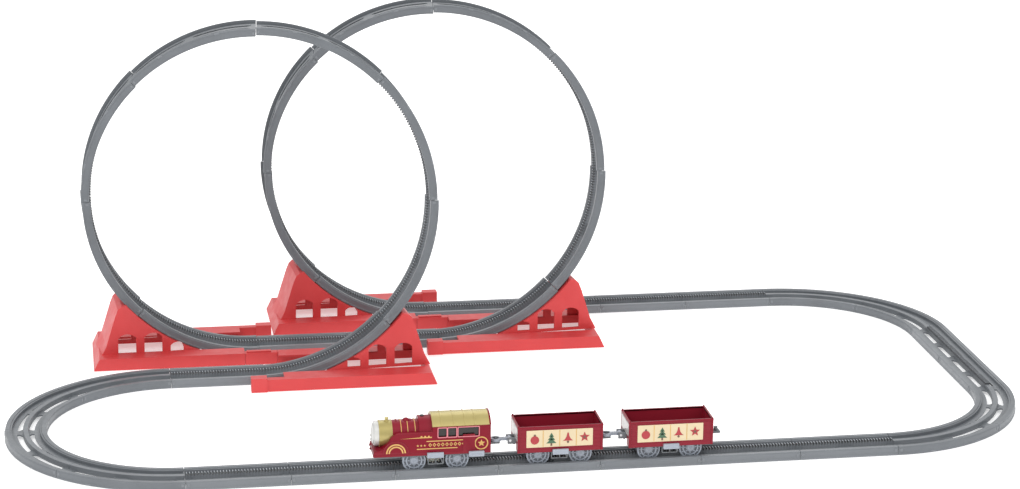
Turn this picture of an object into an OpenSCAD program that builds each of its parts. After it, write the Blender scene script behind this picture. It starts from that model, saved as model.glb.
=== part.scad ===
// Toy loop-the-loop train set: an oval of clip-together track with two vertical
// loops, four loop supports, a battery locomotive and two open wagons.
// Millimetres. +X runs along the front straight, +Y away from it, +Z up.
// The origin is the middle of the set's footprint, on the table.

/* [Track] */
// Length of one straight section
section_l = 96; // [80:1:120]
// Straight sections in the front run
front_n = 7; // [5:1:9]
// Width over the side rails
track_w = 40; // [36:1:50]
// Height of the side rails
rail_h = 8.4; // [7:0.1:11]
// Centre-line radius of the flat curves
curve_r = 144; // [120:1:180]
// Radius of the loops over their outer skin
loop_r = 179; // [150:1:220]
// Width of each side rail
rail_w = 6.8; // [5.5:0.1:8]
// Wall of the track mouldings
track_wall = 1.6; // [1.2:0.1:2]
// Height of the running floor above the table
floor_h = 4.5; // [3.5:0.1:5]
// Width of each running floor
floor_w = 5.1; // [4.4:0.1:5.6]
// Width of the centre rack
rack_w = 5; // [4:0.1:6]
// Teeth on the rack of one straight section
rack_teeth = 34; // [28:1:40]
// Teeth on the rack of one loop section
loop_teeth = 47; // [40:1:54]
// Slack between the ends of two sections
joint_gap = 0.4; // [0.2:0.1:0.8]

/* [Supports] */
// Height of the plinth along each side
plinth_h = 12.5; // [10:0.5:16]
// Thickness of the plinths
plinth_t = 8; // [6:0.5:10]
// Length of a plinth past the middle of the loop
plinth_out = 172; // [160:1:190]
// Wall of the supports
support_wall = 2.6; // [2:0.1:3.5]
// Gap between a support and the track in it
seat_gap = 0.3; // [0.2:0.1:0.6]

/* [Running gear] */
// Wheel diameter
wheel_d = 22; // [18:0.5:26]
// Wheel tread width
wheel_w = 3.4; // [2.6:0.1:3.8]
// Axle diameter
axle_d = 3; // [2:0.1:4]
// Distance between a vehicle's two axles
wheelbase = 40; // [34:1:46]
// Running clearance of a shaft in its bearing, on the radius
bearing_clear = 0.06; // [0.03:0.01:0.1]
// Height of a wheel above its running floor
tread_clear = 0.15; // [0.1:0.05:0.3]
// Height of the couplings above the table
coupler_z = 28; // [26:0.5:31]
// Gap between two vehicles
car_gap = 25; // [23:0.5:32]

/* [Locomotive] */
// Length over the body
loco_l = 110; // [100:1:130]
// Width over the body
loco_w = 32; // [30:0.5:36]
// Height of the skirt's lower edge
skirt_z = 21.5; // [20.5:0.5:23]
// Length of the cab
cab_l = 54.5; // [54:0.5:66]
// Height of the cab's side walls
cab_z = 49; // [49:0.5:56]
// Height of the roof's crown
roof_z = 57.5; // [55:0.5:66]
// Height of the boiler's centre line
boiler_z = 39.5; // [39:0.5:44]
// Boiler diameter
boiler_d = 24; // [22:0.5:27]
// Wall of the body mouldings
body_wall = 1.6; // [1.2:0.1:2.2]

/* [Wagons] */
// Length of a wagon tub
tub_l = 80; // [70:1:100]
// Width of a wagon tub
tub_w = 36; // [34.5:0.5:42]
// Height of a tub's rim above the table
tub_z = 45; // [38:0.5:56]
// Height of a tub's lower edge
tub_skirt_z = 19.5; // [19:0.5:21]

/* [Drive] */
// Teeth on the gear that climbs the rack
climb_teeth = 20; // [18:1:22]
// Teeth on the final gear
final_teeth = 36; // [34:1:38]
// Teeth on the small half of the reduction gear
small_teeth = 12; // [12:1:14]
// Teeth on the large half of the reduction gear
large_teeth = 40; // [38:1:42]
// Teeth on the motor pinion
pinion_teeth = 12; // [12:1:14]
// Tooth size (module) of the reduction gears
gear_m = 0.5; // [0.45:0.05:0.55]

/* [Hidden] */
$fn = 96;
eps = 0.05;

grey = [0.44, 0.46, 0.48];
wheel_grey = [0.55, 0.60, 0.64];
coral = [0.86, 0.33, 0.33];
crimson = [0.62, 0.02, 0.12];
gold = [0.78, 0.70, 0.42];
cream = [0.93, 0.88, 0.68];
steel = [0.72, 0.72, 0.74];
black = [0.06, 0.06, 0.07];

// layout: the lane pitch equals one section, so two straights close the right-hand side
lane_pitch = section_l;
run_l = front_n * section_l;
x_left = -run_l / 2;
plinth_near = 44;
plinth_far = lane_pitch / 2 + 4;
block_out = 1.5;
y_front = -(2 * curve_r + 2 * lane_pitch + plinth_near + block_out - track_w / 2) / 2;
y_lane_a = y_front + 2 * curve_r;
y_lane_b = y_lane_a + lane_pitch;
y_back = y_lane_b + lane_pitch;
x_loop_1 = x_left + section_l;
x_loop_2 = x_left + 3 * section_l;

// track cross-section, as distances from the centre line
half_w = track_w / 2;
rail_in = half_w - rail_w;
floor_in = rail_in - floor_w;
floor_t = 1.5;
rack_half = rack_w / 2;
rack_pitch = section_l / rack_teeth;
rack_m = rack_pitch / PI;
tooth_up = 0.8;
rack_line = rail_h + tooth_up;
rack_top = rack_line - 1.1 * rack_m;
tooth_thin = 0.1;
pressure = 20;
tie_w = 9;
tie_flare = 4.5;
end_tie_w = 5;
slot_lip = 0.4;
tooth_in = 0.2;
clip_l = 12;
clip_t = 1.2;

// loops: eight planar arcs, each turned a little sideways so that the loop moves over by one lane
arc_a = 45;
tilt = asin(lane_pitch / 16 / ((loop_r - floor_h) * sin(arc_a / 2)));
arc_pitch_r = loop_r - rack_line;

// vehicles
axle_r = axle_d / 2;
wheel_r = wheel_d / 2;
axle_z = floor_h + tread_clear + wheel_r;
wheel_out = rail_in - 0.4;
wheel_in = wheel_out - wheel_w;
loco_x = x_left + section_l * 1.78 + loco_l / 2;
wagon_1_x = loco_x + loco_l / 2 + car_gap + tub_l / 2;
wagon_2_x = wagon_1_x + tub_l + car_gap;
loco_axle_1 = -16;
loco_axle_2 = loco_axle_1 + wheelbase;
hanger_w = 1.6;
hanger_out = wheel_in - 1.2;
hanger_half = 3.5;
hanger_low = axle_z - axle_r - 2;

// drive train, as places along the locomotive and heights
climb_r = climb_teeth * rack_pitch / (2 * PI);
final_r = final_teeth * gear_m / 2;
small_r = small_teeth * gear_m / 2;
large_r = large_teeth * gear_m / 2;
pinion_r = pinion_teeth * gear_m / 2;
drive_x = (loco_axle_1 + loco_axle_2) / 2;
drive_z = rack_line + climb_r;
red_dir = 120;
red_x = drive_x + (final_r + small_r) * cos(red_dir);
red_z = drive_z + (final_r + small_r) * sin(red_dir);
motor_dir = 160;
motor_x = red_x + (large_r + pinion_r) * cos(motor_dir);
motor_z = red_z + (large_r + pinion_r) * sin(motor_dir);
motor_r = 7;
shaft_r = 1.5;
pin_r = 1;
gear_thin = 0.08;
final_y = [4.5, 6.4];
large_y = [7, min(8.8, wheel_in - 0.5)];
box_out = large_y[1] + 0.3;
box_in = -2.6;
box_t = 1.4;
box_top = 33.2;

// drawbars
hitch_t = 2;
peg_r = 1.8;
ring_in = 3.2;
ring_out = 5;
bar_t = 2.5;
drawbar_pin_r = 1.2;
peg_reach = 7;
pivot_reach = 5;
drawbar_l = car_gap - peg_reach - pivot_reach;

// ---------------------------------------------------------------- helpers
module slab(x, y, z) {
    translate([x[0], y[0], z[0]])
        cube([x[1] - x[0], y[1] - y[0], z[1] - z[0]]);
}

// a drawing in X and Z, given depth from y[0] to y[1]
module across(y) {
    translate([0, y[1], 0])
        rotate([90, 0, 0])
            linear_extrude(y[1] - y[0])
                children();
}

// a span r given from place c
function around(c, r) = [c + r[0], c + r[1]];

module rod_y(r, y, x = 0, z = 0) {
    translate([x, y[1], z])
        rotate([90, 0, 0])
            cylinder(r = r, h = y[1] - y[0]);
}

module rod_x(r, x, y = 0, z = 0) {
    translate([x[0], y, z])
        rotate([0, 90, 0])
            cylinder(r = r, h = x[1] - x[0]);
}

module both_sides() {
    children();
    mirror([0, 1, 0])
        children();
}

module at_vehicle(x) {
    translate([x, y_front, 0])
        children();
}

// involute tooth: half its angle at radius r, for base radius rb
function inv(a) = tan(a) * 180 / PI - a;
function tooth_half(r, rb, n, rp, thin) =
    90 / n - thin / rp * 180 / PI + inv(pressure) - (r <= rb ? 0 : inv(acos(rb / r)));

function gear_points(n, m, turn, thin, up = 0.8, down = 1.15) =
    let (rp = n * m / 2, rb = rp * cos(pressure), ra = rp + up * m, rr = rp - down * m, lo = max(rb, rr))
    [for (k = [0:n - 1])
        let (mid = turn + 360 * k / n)
        each concat(
            [for (r = [rr, for (i = [0:4]) lo + (ra - lo) * i / 4])
                let (a = mid - tooth_half(r, rb, n, rp, thin)) r * [cos(a), sin(a)]],
            [for (r = [for (i = [4:-1:0]) lo + (ra - lo) * i / 4, rr])
                let (a = mid + tooth_half(r, rb, n, rp, thin)) r * [cos(a), sin(a)]])];

module gear(n, m, turn, thin, y, x, z) {
    translate([x, 0, z])
        across(y)
            polygon(gear_points(n, m, turn, thin));
}

// turn of a gear so that it meshes: b follows a, whose turn is given, in direction dir from a to b
function mesh_turn(dir, a_turn, a_n, b_n) = dir + 180 - (0.5 - (dir - a_turn) * a_n / 360) * 360 / b_n;
climb_turn = -90 - (loco_x + drive_x - x_left) / rack_pitch * 360 / climb_teeth;
small_turn = mesh_turn(red_dir, 0, final_teeth, small_teeth);
pinion_turn = mesh_turn(motor_dir, 0, large_teeth, pinion_teeth);

// ---------------------------------------------------------------- track
// half of a section's cross-section, from the floor's underside out round the hollow rail and
// back to the floor's top
function skirt_points() = [
    [0, floor_h - floor_t], [rail_in + track_wall, floor_h - floor_t],
    [rail_in + track_wall, rail_h - track_wall], [half_w - track_wall, rail_h - track_wall],
    [half_w - track_wall, 0], [half_w, 0], [half_w, rail_h], [rail_in + 1.8, rail_h],
    [rail_in + 1.8, rail_h - 0.8], [rail_in, rail_h - 0.8], [rail_in, floor_h]];
function rail_points() = [for (p = concat(skirt_points(), [[0, floor_h]])) [max(p[0], floor_in), p[1]]];

function rack_tooth(x) =
    let (half = rack_pitch / 4 - tooth_thin, lean = tan(pressure))
    [[x - half - 1.1 * rack_m * lean, rack_line - 1.15 * rack_m],
     [x - half + rack_m * lean, rack_line + rack_m],
     [x + half - rack_m * lean, rack_line + rack_m],
     [x + half + 1.1 * rack_m * lean, rack_line - 1.15 * rack_m]];

// cross tie between the two floors, flared where it meets the rack
module tie(x, w) {
    module flared() {
        polygon([[x - w / 2, -floor_in - eps], [x + w / 2, -floor_in - eps], [x + w / 2, -rack_half - 1],
                 [x + w / 2 + tie_flare, -rack_half + eps], [x + w / 2 + tie_flare, rack_half - eps],
                 [x + w / 2, rack_half + 1], [x + w / 2, floor_in + eps], [x - w / 2, floor_in + eps],
                 [x - w / 2, rack_half + 1], [x - w / 2 - tie_flare, rack_half - eps],
                 [x - w / 2 - tie_flare, -rack_half + eps], [x - w / 2, -rack_half - 1]]);
    }
    translate([0, 0, floor_h - floor_t])
        linear_extrude(floor_t)
            intersection() {
                flared();
                translate([0, -half_w])
                    square([section_l - joint_gap, track_w]);
            }
}

module straight_section() {
    l = section_l - joint_gap;
    translate([joint_gap / 2, 0, 0]) {
        both_sides()
            rotate([90, 0, 90])
                linear_extrude(l)
                    polygon(rail_points());
        for (x = [0, l / 2, l])
            tie(x, x == l / 2 ? tie_w : 2 * end_tie_w);
        across([-rack_half, rack_half])
            polygon(concat(
                [[0, floor_h - floor_t], [0, rack_line - 1.15 * rack_m]],
                [for (k = [0:rack_teeth - 1]) each rack_tooth((k + 0.5) * rack_pitch - joint_gap / 2)],
                [[l, rack_line - 1.15 * rack_m], [l, floor_h - floor_t]]));
    }
}

module straight_run(n) {
    color(grey)
        for (k = [0:n - 1])
            translate([k * section_l, 0, 0])
                straight_section();
}

// whole cross-section of a curved section, as distances from the centre line and heights
function deck_points() = concat(
    skirt_points(),
    [[rack_half, floor_h], [rack_half, rack_top], [-rack_half, rack_top], [-rack_half, floor_h]],
    [for (i = [len(skirt_points()) - 1:-1:1]) [-skirt_points()[i][0], skirt_points()[i][1]]]);

// angles of the two slots between the three ties of a curved section of this radius
function slot_spans(r, arc) =
    let (d = 180 / PI / r, e = end_tie_w * d, m = tie_w * d / 2)
    [[e, arc / 2 - m], [arc / 2 + m, arc - e]];

// flat curve of 45 degrees about the origin, starting on +X
module curve_section() {
    gap_a = joint_gap / curve_r * 180 / PI;
    arc = arc_a - gap_a;
    rotate([0, 0, gap_a / 2])
        difference() {
            rotate_extrude(angle = arc)
                translate([curve_r, 0])
                    polygon(deck_points());
            for (s = slot_spans(curve_r, arc), side = [0, 1])
                rotate([0, 0, s[0]])
                    rotate_extrude(angle = s[1] - s[0])
                        translate([curve_r, 0])
                            mirror([side, 0])
                                translate([rack_half + slot_lip, floor_h - 2 * floor_t])
                                    square([floor_in - rack_half - slot_lip, 3 * floor_t]);
        }
}

// curves about centre c, section k starting at from + 45 k
module curve_run(c, from, n) {
    color(grey)
        translate([c[0], c[1], 0])
            for (k = [0:n - 1])
                rotate([0, 0, from + arc_a * k])
                    curve_section();
}

// places a loop section's own flat frame: its middle on +X, its axis on Z, side rails across Z
module loop_frame(x, y, k) {
    translate([x, y + lane_pitch * (k + 0.5) / 8, loop_r])
        rotate([90, 0, 0])
            rotate([0, 0, -90 + arc_a * (k + 0.5)])
                rotate([-tilt, 0, 0])
                    children();
}

// one 45 degree loop section, bent upwards: heights above the skin become radii
module loop_section() {
    start = -arc_a / 2;
    rotate([0, 0, start])
        difference() {
            rotate_extrude(angle = arc_a)
                polygon([for (p = deck_points()) [loop_r - p[1], p[0]]]);
            for (s = slot_spans(loop_r, arc_a), side = [-1, 1])
                rotate([0, 0, s[0]])
                    rotate_extrude(angle = s[1] - s[0])
                        translate([loop_r - floor_h - floor_t, side > 0 ? rack_half + slot_lip : -floor_in])
                            square([3 * floor_t, floor_in - rack_half - slot_lip]);
        }
    translate([0, 0, -rack_half + tooth_in])
        linear_extrude(rack_w - 2 * tooth_in)
            for (k = [0:loop_teeth - 1])
                let (mid = start + arc_a * (k + 0.5) / loop_teeth,
                     half = arc_a / loop_teeth / 4)
                polygon([for (c = [[-1.75, -2], [-0.55, 1], [0.55, 1], [1.75, -2]])
                    let (a = mid + half * c[0], r = arc_pitch_r - c[1] * rack_m)
                    r * [cos(a), sin(a)]]);
}

module loop_track(x, y) {
    color(grey)
        for (k = [0:7])
            difference() {
                loop_frame(x, y, k)
                    loop_section();
                // the first and last sections end square against the straights
                if (k == 0)
                    slab([x - 30, x + joint_gap], around(y, [-40, 40]), [-10, 30]);
                if (k == 7)
                    slab([x - joint_gap, x + 30], around(y + lane_pitch, [-40, 40]), [-10, 30]);
            }
}

// two short strips that sit in the hollow rails and hold two sections together
module clip_pair() {
    both_sides()
        slab([-clip_l / 2, clip_l / 2], [rail_in + track_wall + 0.2, half_w - track_wall - 0.2],
             [rail_h - track_wall - clip_t, rail_h - track_wall]);
}

module clips_along(n) {
    for (k = [0:n])
        translate([k * section_l, 0, 0])
            clip_pair();
}

module clips_round(c, from, n) {
    translate([c[0], c[1], 0])
        for (k = [0:n])
            rotate([0, 0, from + arc_a * k])
                translate([curve_r, 0, 0])
                    rotate([0, 0, 90])
                        clip_pair();
}

module ground_clips() {
    color(black) {
        translate([x_left, y_front, 0])
            clips_along(front_n);
        translate([x_left, y_lane_a, 0])
            clip_pair();
        translate([x_loop_1 + section_l, y_lane_b, 0])
            clip_pair();
        translate([x_loop_2 + section_l, y_back, 0])
            clips_along(front_n - 4);
        clips_round([x_left, y_front + curve_r], 135, 2);
        clips_round([-x_left, y_front + curve_r], -45, 0);
        clips_round([-x_left, y_front + curve_r + 2 * lane_pitch], 45, 0);
        for (k = [0:2])
            translate([-x_left + curve_r, y_front + curve_r + k * lane_pitch, 0])
                rotate([0, 0, 90])
                    clip_pair();
    }
}

// square clips on the outer skin of each loop joint, one across each rail's hollow
module loop_clips(x, y) {
    color(black)
        for (k = [0:6])
            loop_frame(x, y, k)
                rotate([0, 0, arc_a / 2])
                    both_rails()
                        translate([loop_r - rail_h + track_wall + 0.75, -clip_l / 2, 0])
                            cube([clip_t, clip_l / 2 - joint_gap, rail_w - 2 * track_wall - 1.6]);
}

module both_rails() {
    for (side = [0, 1])
        mirror([0, 0, side])
            translate([0, 0, rail_in + track_wall + 0.8])
                children();
}

// ---------------------------------------------------------------- supports
// outline of a support's side wall in X and Z: up under the loop's skin to the apex, then round
// and down to the plinth's outer end; low is how far it reaches below the table line
wall_from = 30;
apex_a = 50;
cut_h = plinth_h - 2;
apex_x = loop_r * sin(apex_a);
// outer edge of the wall below the apex, as distances back from the plinth's end and heights
wall_tail = [[-33, 65.5], [-28, 65], [-24, 61.5], [-21, 54], [-16, 38], [-11, 22], [-6, plinth_h]];
function skin_z(x, gap) = loop_r - sqrt(pow(loop_r + gap, 2) - x * x);
function wall_points(gap, thick, low) = concat(
    [[wall_from + thick, -low]],
    [for (i = [0:12])
        let (x = wall_from + thick + (apex_x - wall_from - thick) * i / 12)
        [x, max(1.2 - low, skin_z(x, gap + thick))]],
    [for (p = wall_tail) [plinth_out + p[0] - thick, p[1] - (p[1] > 60 ? thick : 0)]],
    [[plinth_out - thick, -low]]);

// window with a flat arched head: the head's radius is 5/8 of its width
function arch_points(x, w, z, h) = let (r = 0.625 * w) concat(
    [[x, z], [x + w, z]],
    [for (i = [0:8])
        let (a = 36.87 + 106.26 * i / 8)
        [x + w / 2 + r * cos(a), z + h - r + r * sin(a)]]);

module support_windows() {
    polygon(arch_points(81, 13.5, plinth_h, 10));
    polygon(arch_points(103, 18.5, plinth_h, 22));
    polygon(arch_points(130, 18.5, plinth_h, 22));
}

// one support: two plinths, and a shell of two windowed walls, the seat and the outer end
module support() {
    near = -plinth_near;
    far = plinth_far;
    wall_in = half_w + 1.5;
    module in_section() {
        translate([0, lane_pitch / 16, loop_r])
            rotate([90, 0, 0])
                rotate([0, 0, -90 + arc_a / 2])
                    rotate([-tilt, 0, 0])
                        rotate([0, 0, 90 - arc_a / 2])
                            children();
    }
    module shell() {
        difference() {
            translate([0, 0, -wall_in - support_wall])
                linear_extrude(2 * (wall_in + support_wall))
                    polygon(wall_points(2 * seat_gap, 0, 0));
            translate([0, 0, -wall_in])
                linear_extrude(2 * wall_in)
                    polygon(wall_points(2 * seat_gap, support_wall, 6));
            translate([0, 0, -wall_in - support_wall - 1])
                linear_extrude(2 * (wall_in + support_wall + 1))
                    support_windows();
        }
    }
    difference() {
        in_section()
            translate([0, -loop_r, 0])
                shell();
        slab([0, 2 * plinth_out], [-80, 80], [-40, cut_h]);
        // room for the second section of the loop, which leans a little differently
        loop_frame(0, 0, 1)
            rotate([0, 0, -arc_a / 2 - 2])
                rotate_extrude(angle = arc_a)
                    translate([loop_r - 30, -half_w - seat_gap])
                        square([30 + 2 * seat_gap, track_w + 2 * seat_gap]);
    }
    // plinths, and the shelves that join them to the walls
    for (p = [[-17, near], [17, far - plinth_t]])
        across([p[1], p[1] + plinth_t])
            polygon([[p[0], 0], [plinth_out, 0], [plinth_out - 6, plinth_h], [p[0], plinth_h]]);
    slab([17, plinth_out - 6], [near + 1, -half_w - 1.2], [plinth_h - 2.2, plinth_h]);
    slab([17, plinth_out - 6], [half_w + 12.5, far - 1], [plinth_h - 2.2, plinth_h]);
    across([near + 1, far - 1])
        polygon([[plinth_out - 9, 0], [plinth_out, 0], [plinth_out - 6, plinth_h], [plinth_out - 9, plinth_h]]);
    // clip block on the short end of the near plinth
    slab([-17, -1], [near - block_out, near + plinth_t + block_out], [0, plinth_h + 2]);
}

module front_support(x, y) {
    color(coral)
        translate([x, y, 0])
            support();
}

module rear_support(x, y) {
    color(coral)
        translate([x, y + lane_pitch, 0])
            rotate([0, 0, 180])
                support();
}

module support_links() {
    color(coral)
        for (p = [[x_loop_1, y_lane_a], [x_loop_2, y_lane_b]])
            translate([p[0], p[1] + lane_pitch / 2, 0]) {
                slab([-17 + seat_gap, 17 - seat_gap], [-4, 4], [0, plinth_h]);
                slab([-15, 10], [-2.5, 2.5], [plinth_h, plinth_h + 1.5]);
            }
}

// ---------------------------------------------------------------- vehicles: shared pieces
module wheels(x) {
    color(wheel_grey)
        both_sides()
            difference() {
                union() {
                    rod_y(wheel_r, [wheel_in, wheel_out - 0.8], x, axle_z);
                    difference() {
                        rod_y(wheel_r, [wheel_out - 1, wheel_out], x, axle_z);
                        rod_y(wheel_r - 2.2, [wheel_out - 0.8, wheel_out + 1], x, axle_z);
                    }
                    rod_y(3.2, [wheel_in - 0.9, wheel_out], x, axle_z);
                }
                rod_y(axle_r, [wheel_in - 2, wheel_out + 2], x, axle_z);
            }
}

module axle(x) {
    color(steel)
        rod_y(axle_r, [-wheel_out, wheel_out], x, axle_z);
}

// bearing plates that hang from a floor plate and carry one axle
module hangers(x, top) {
    both_sides()
        difference() {
            slab([x - hanger_half, x + hanger_half], [hanger_out - hanger_w, hanger_out], [hanger_low, top]);
            rod_y(axle_r + bearing_clear, [0, 30], x, axle_z);
        }
}

// slots in a floor plate for one axle's wheels
module wheel_slots(x, z) {
    both_sides()
        slab([x - wheel_r - 0.8, x + wheel_r + 0.8], [wheel_in - 0.6, wheel_out + 0.4], z);
}

// hitch plate and peg behind a vehicle whose back end is at x
module hitch(x) {
    slab([x - 6, x + peg_reach + 3.5], [-4, 4], around(coupler_z, [-3, -3 + hitch_t]));
    translate([x + peg_reach, 0, coupler_z - 3 + hitch_t - eps])
        cylinder(r = peg_r, h = 3.6);
}

// step board outside a skirt at y, held by an arm below it
module step_board(x, w, y, z) {
    both_sides() {
        slab([x - w / 2, x + w / 2], [y + 0.3, y + 2.3], [z - 1.7, z + 2.9]);
        slab([x - w / 2 + 2, x + w / 2 - 2], [wheel_out, y + 1], [z - 1.7, z - 0.3]);
    }
}

// ---------------------------------------------------------------- locomotive
x_front = -loco_l / 2;
x_back = loco_l / 2;
cab_x = x_back - cab_l;
// the vehicles' widths are those on 40 mm track, and they widen with it
track_ref = 40;
gauge_shift = (track_w - track_ref) / 2;
half_b = loco_w / 2 + gauge_shift;
boiler_r = boiler_d / 2;
shoulder_z = boiler_z + 4.3;
ring_x = [x_front + 7, x_front + 19.5];
fairing_x = cab_x - 11.8;
fairing_r = boiler_r + 3.2;
plate_z = [skirt_z - 1.5, skirt_z + 0.5];

function body_side(w) = [
    [x_front + 1 + w, skirt_z], [x_front + 1 + w, skirt_z + 5 - w], [x_front + 9, skirt_z + 7 - w],
    [x_front + 14, skirt_z + 12 - w], [x_front + 18, skirt_z + 19 - w], [x_front + 22 + w, shoulder_z - w],
    [cab_x + w, shoulder_z - w], [cab_x + w, cab_z], [x_back - w, cab_z], [x_back - w, skirt_z]];

module window_holes(grow, y) {
    for (w = [[5.6, 7.6], [14.6, 7.6], [24.2, 19]])
        slab([cab_x + w[0] - grow, cab_x + w[0] + w[1] + grow], y, [cab_z - 10.4 - grow, cab_z - 1.9 + grow]);
}

// switch slot: the knob's travel along the top of the fairing
knob_x = cab_x - 7.7;
knob_r = 2;
knob_travel = 3.5;

screw_x = [x_front + 8.5, x_back - 5];
screw_y = [0, 10.5];

module loco_body() {
    color(crimson)
        difference() {
            union() {
                difference() {
                    union() {
                        across([-half_b, half_b])
                            polygon(body_side(0));
                        rod_x(boiler_r, [ring_x[1], cab_x + 1], 0, boiler_z);
                        rod_x(fairing_r, [fairing_x, cab_x + 1], 0, boiler_z);
                    }
                    across([-half_b + body_wall, half_b - body_wall])
                        polygon(concat([[x_front + 1 + body_wall, skirt_z - 1]], body_side(body_wall),
                                       [[x_back - body_wall, skirt_z - 1]]));
                    rod_x(boiler_r - body_wall, [ring_x[1] + body_wall, cab_x + 5], 0, boiler_z);
                    rod_x(fairing_r - body_wall, [fairing_x + body_wall, cab_x + 5], 0, boiler_z);
                }
                // screw posts
                for (i = [0, 1])
                    translate([screw_x[i], screw_y[i], plate_z[1]])
                        cylinder(r = 2.4, h = i == 0 ? 6 : 12);
                slab([screw_x[1], x_back - body_wall / 2], around(screw_y[1], [-0.7, 0.7]),
                     [plate_z[1], plate_z[1] + 12]);
            }
            window_holes(0, [-half_b - 1, half_b + 1]);
            // the fairing stops short of the roof's end wall
            slab([cab_x - 0.3, cab_x + 3], [-half_b, half_b], [cab_z, roof_z + 10]);
            slab([knob_x - knob_r - 0.3, knob_x + knob_r + knob_travel + 0.3], [-knob_r - 0.3, knob_r + 0.3],
                 around(boiler_z + fairing_r, [-4, 2]));
            for (i = [0, 1])
                translate([screw_x[i], screw_y[i], plate_z[1] - 1])
                    cylinder(r = 1.3, h = i == 0 ? 6 : 9);
            // room for the bolts of the hitch plate
            slab([x_back - body_wall - 1, x_back + 1], [-4.4, 4.4], around(coupler_z, [-3.4, -0.6]));
        }
}

// arched roof that lifts off for the battery, with its end walls and a lip inside the cab
lip_down = 1;
arch_half = half_b + 1;
arch_rise = roof_z - cab_z;
arch_r = (arch_half * arch_half + arch_rise * arch_rise) / (2 * arch_rise);
module loco_roof() {
    color(gold)
        translate([cab_x, 0, 0])
            rotate([90, 0, 90]) {
                difference() {
                    linear_extrude(cab_l)
                        roof_outline(arch_r);
                    translate([0, 0, body_wall])
                        linear_extrude(cab_l - 2 * body_wall)
                            roof_outline(arch_r - body_wall);
                }
                for (y = [-half_b + body_wall + 0.3, half_b - 2 * body_wall - 0.3])
                    translate([y, cab_z - lip_down, 4])
                        cube([body_wall, lip_down + 1.6, cab_l - 8]);
            }
}

module roof_outline(r) {
    intersection() {
        translate([0, roof_z - arch_r])
            circle(r = r);
        translate([-40, cab_z + 0.2])
            square([80, 40]);
    }
}

module loco_windows() {
    color(black)
        both_sides()
            window_holes(0.6, [half_b - body_wall - 0.9, half_b - body_wall - 0.1]);
}

module smokebox_front() {
    color([0.93, 0.93, 0.91]) {
        rod_x(boiler_r - 0.6, [x_front + 2.5, ring_x[0]], 0, boiler_z);
        rod_x(boiler_r - 2.5, [x_front + 1.2, x_front + 3], 0, boiler_z);
        rod_x(5, [x_front + 0.4, x_front + 2], 0, boiler_z);
    }
}

module smokebox_ring() {
    color(gold) {
        difference() {
            rod_x(boiler_r + 0.2, [ring_x[0], ring_x[1]], 0, boiler_z);
            rod_x(boiler_r - 2, [ring_x[0] + 2, ring_x[1] + 1], 0, boiler_z);
            across([-40, 40])
                polygon(concat([[ring_x[0] - 20, 0]], [for (p = body_side(-0.2)) if (p[0] < ring_x[1] + 8) p],
                               [[ring_x[1] + 8, 0]]));
        }
        translate([ring_x[0] + 8, 0, boiler_z + boiler_r - 0.6]) {
            cylinder(r = 1.3, h = 2.6);
            translate([0, 0, 2.4])
                cylinder(r = 2, h = 1);
        }
    }
}

saddle_x = [16.5, 44];
battery_y = -3;
battery_z = 41.5;
battery_r = 7.1;
battery_l = 49.5;
battery_end = 2.6;
battery_x = [x_back - battery_end - battery_l, x_back - battery_end];
module loco_chassis() {
    color(grey)
        difference() {
            union() {
                difference() {
                    slab([x_front + 3.5, x_back - body_wall - 0.2],
                         [-half_b + body_wall + 0.2, half_b - body_wall - 0.2], plate_z);
                    wheel_slots(loco_axle_1, [0, 40]);
                    wheel_slots(loco_axle_2, [0, 40]);
                    slab([min(red_x - large_r - 1, drive_x - climb_r - 1.6), drive_x + climb_r + 1.6],
                         [-2.4, box_out - 0.1], [0, 40]);
                }
                hangers(loco_axle_1, plate_z[1]);
                hangers(loco_axle_2, plate_z[1]);
                // gearbox plates
                for (y = [[box_in - box_t, box_in], [box_out, box_out + box_t]]) {
                    slab(around(drive_x, [-3.2, 4]), y, [drive_z - 3.4, plate_z[0] + 1]);
                    slab([drive_x - 3.2, drive_x + 4], y, [plate_z[0], axle_z + wheel_r + 1.5]);
                    slab([motor_x - 2, drive_x + 4], y, [axle_z + wheel_r + 1, box_top]);
                }
                // battery saddles
                for (x = saddle_x)
                    slab([x, x + 2], around(battery_y, [-6, 6.5]), [plate_z[1] - 1, battery_z - 4]);
                // posts under the rear screw and the hitch
                slab([x_back - 10, x_back - body_wall - 0.2], [-4, 4], [plate_z[0], coupler_z - 3 + hitch_t]);
                hitch(x_back);
                step_board(drive_x - 0.8, 15, half_b, plate_z[0] + 1.2);
                step_board(loco_axle_2 + 17.5, 14, half_b, plate_z[0] + 0.8);
            }
            for (x = saddle_x)
                rod_x(battery_r + 0.1, [x - 1, x + 3], battery_y, battery_z);
            rod_y(shaft_r + bearing_clear, [-20, 20], drive_x, drive_z);
            rod_y(pin_r, [-20, 20], red_x, red_z);
            rod_y(motor_r + bearing_clear, [box_in - box_t - 1, box_in + 1], motor_x, motor_z);
            for (i = [0, 1])
                translate([screw_x[i], screw_y[i], 0])
                    cylinder(r = 1.6, h = 40);
        }
}

module battery() {
    color([0.2, 0.45, 0.3]) {
        rod_x(battery_r, [battery_x[0] + 1.2, battery_x[1]], battery_y, battery_z);
        rod_x(2.6, [battery_x[0], battery_x[0] + 1.3], battery_y, battery_z);
    }
}

module battery_contacts() {
    color(steel) {
        slab([battery_x[0] - 0.5, battery_x[0]], around(battery_y, [-4, 4]), around(battery_z, [-8, 4]));
        slab([battery_x[1], battery_x[1] + 0.5], around(battery_y, [-4, 4]), around(battery_z, [-8, 4]));
    }
}

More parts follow.
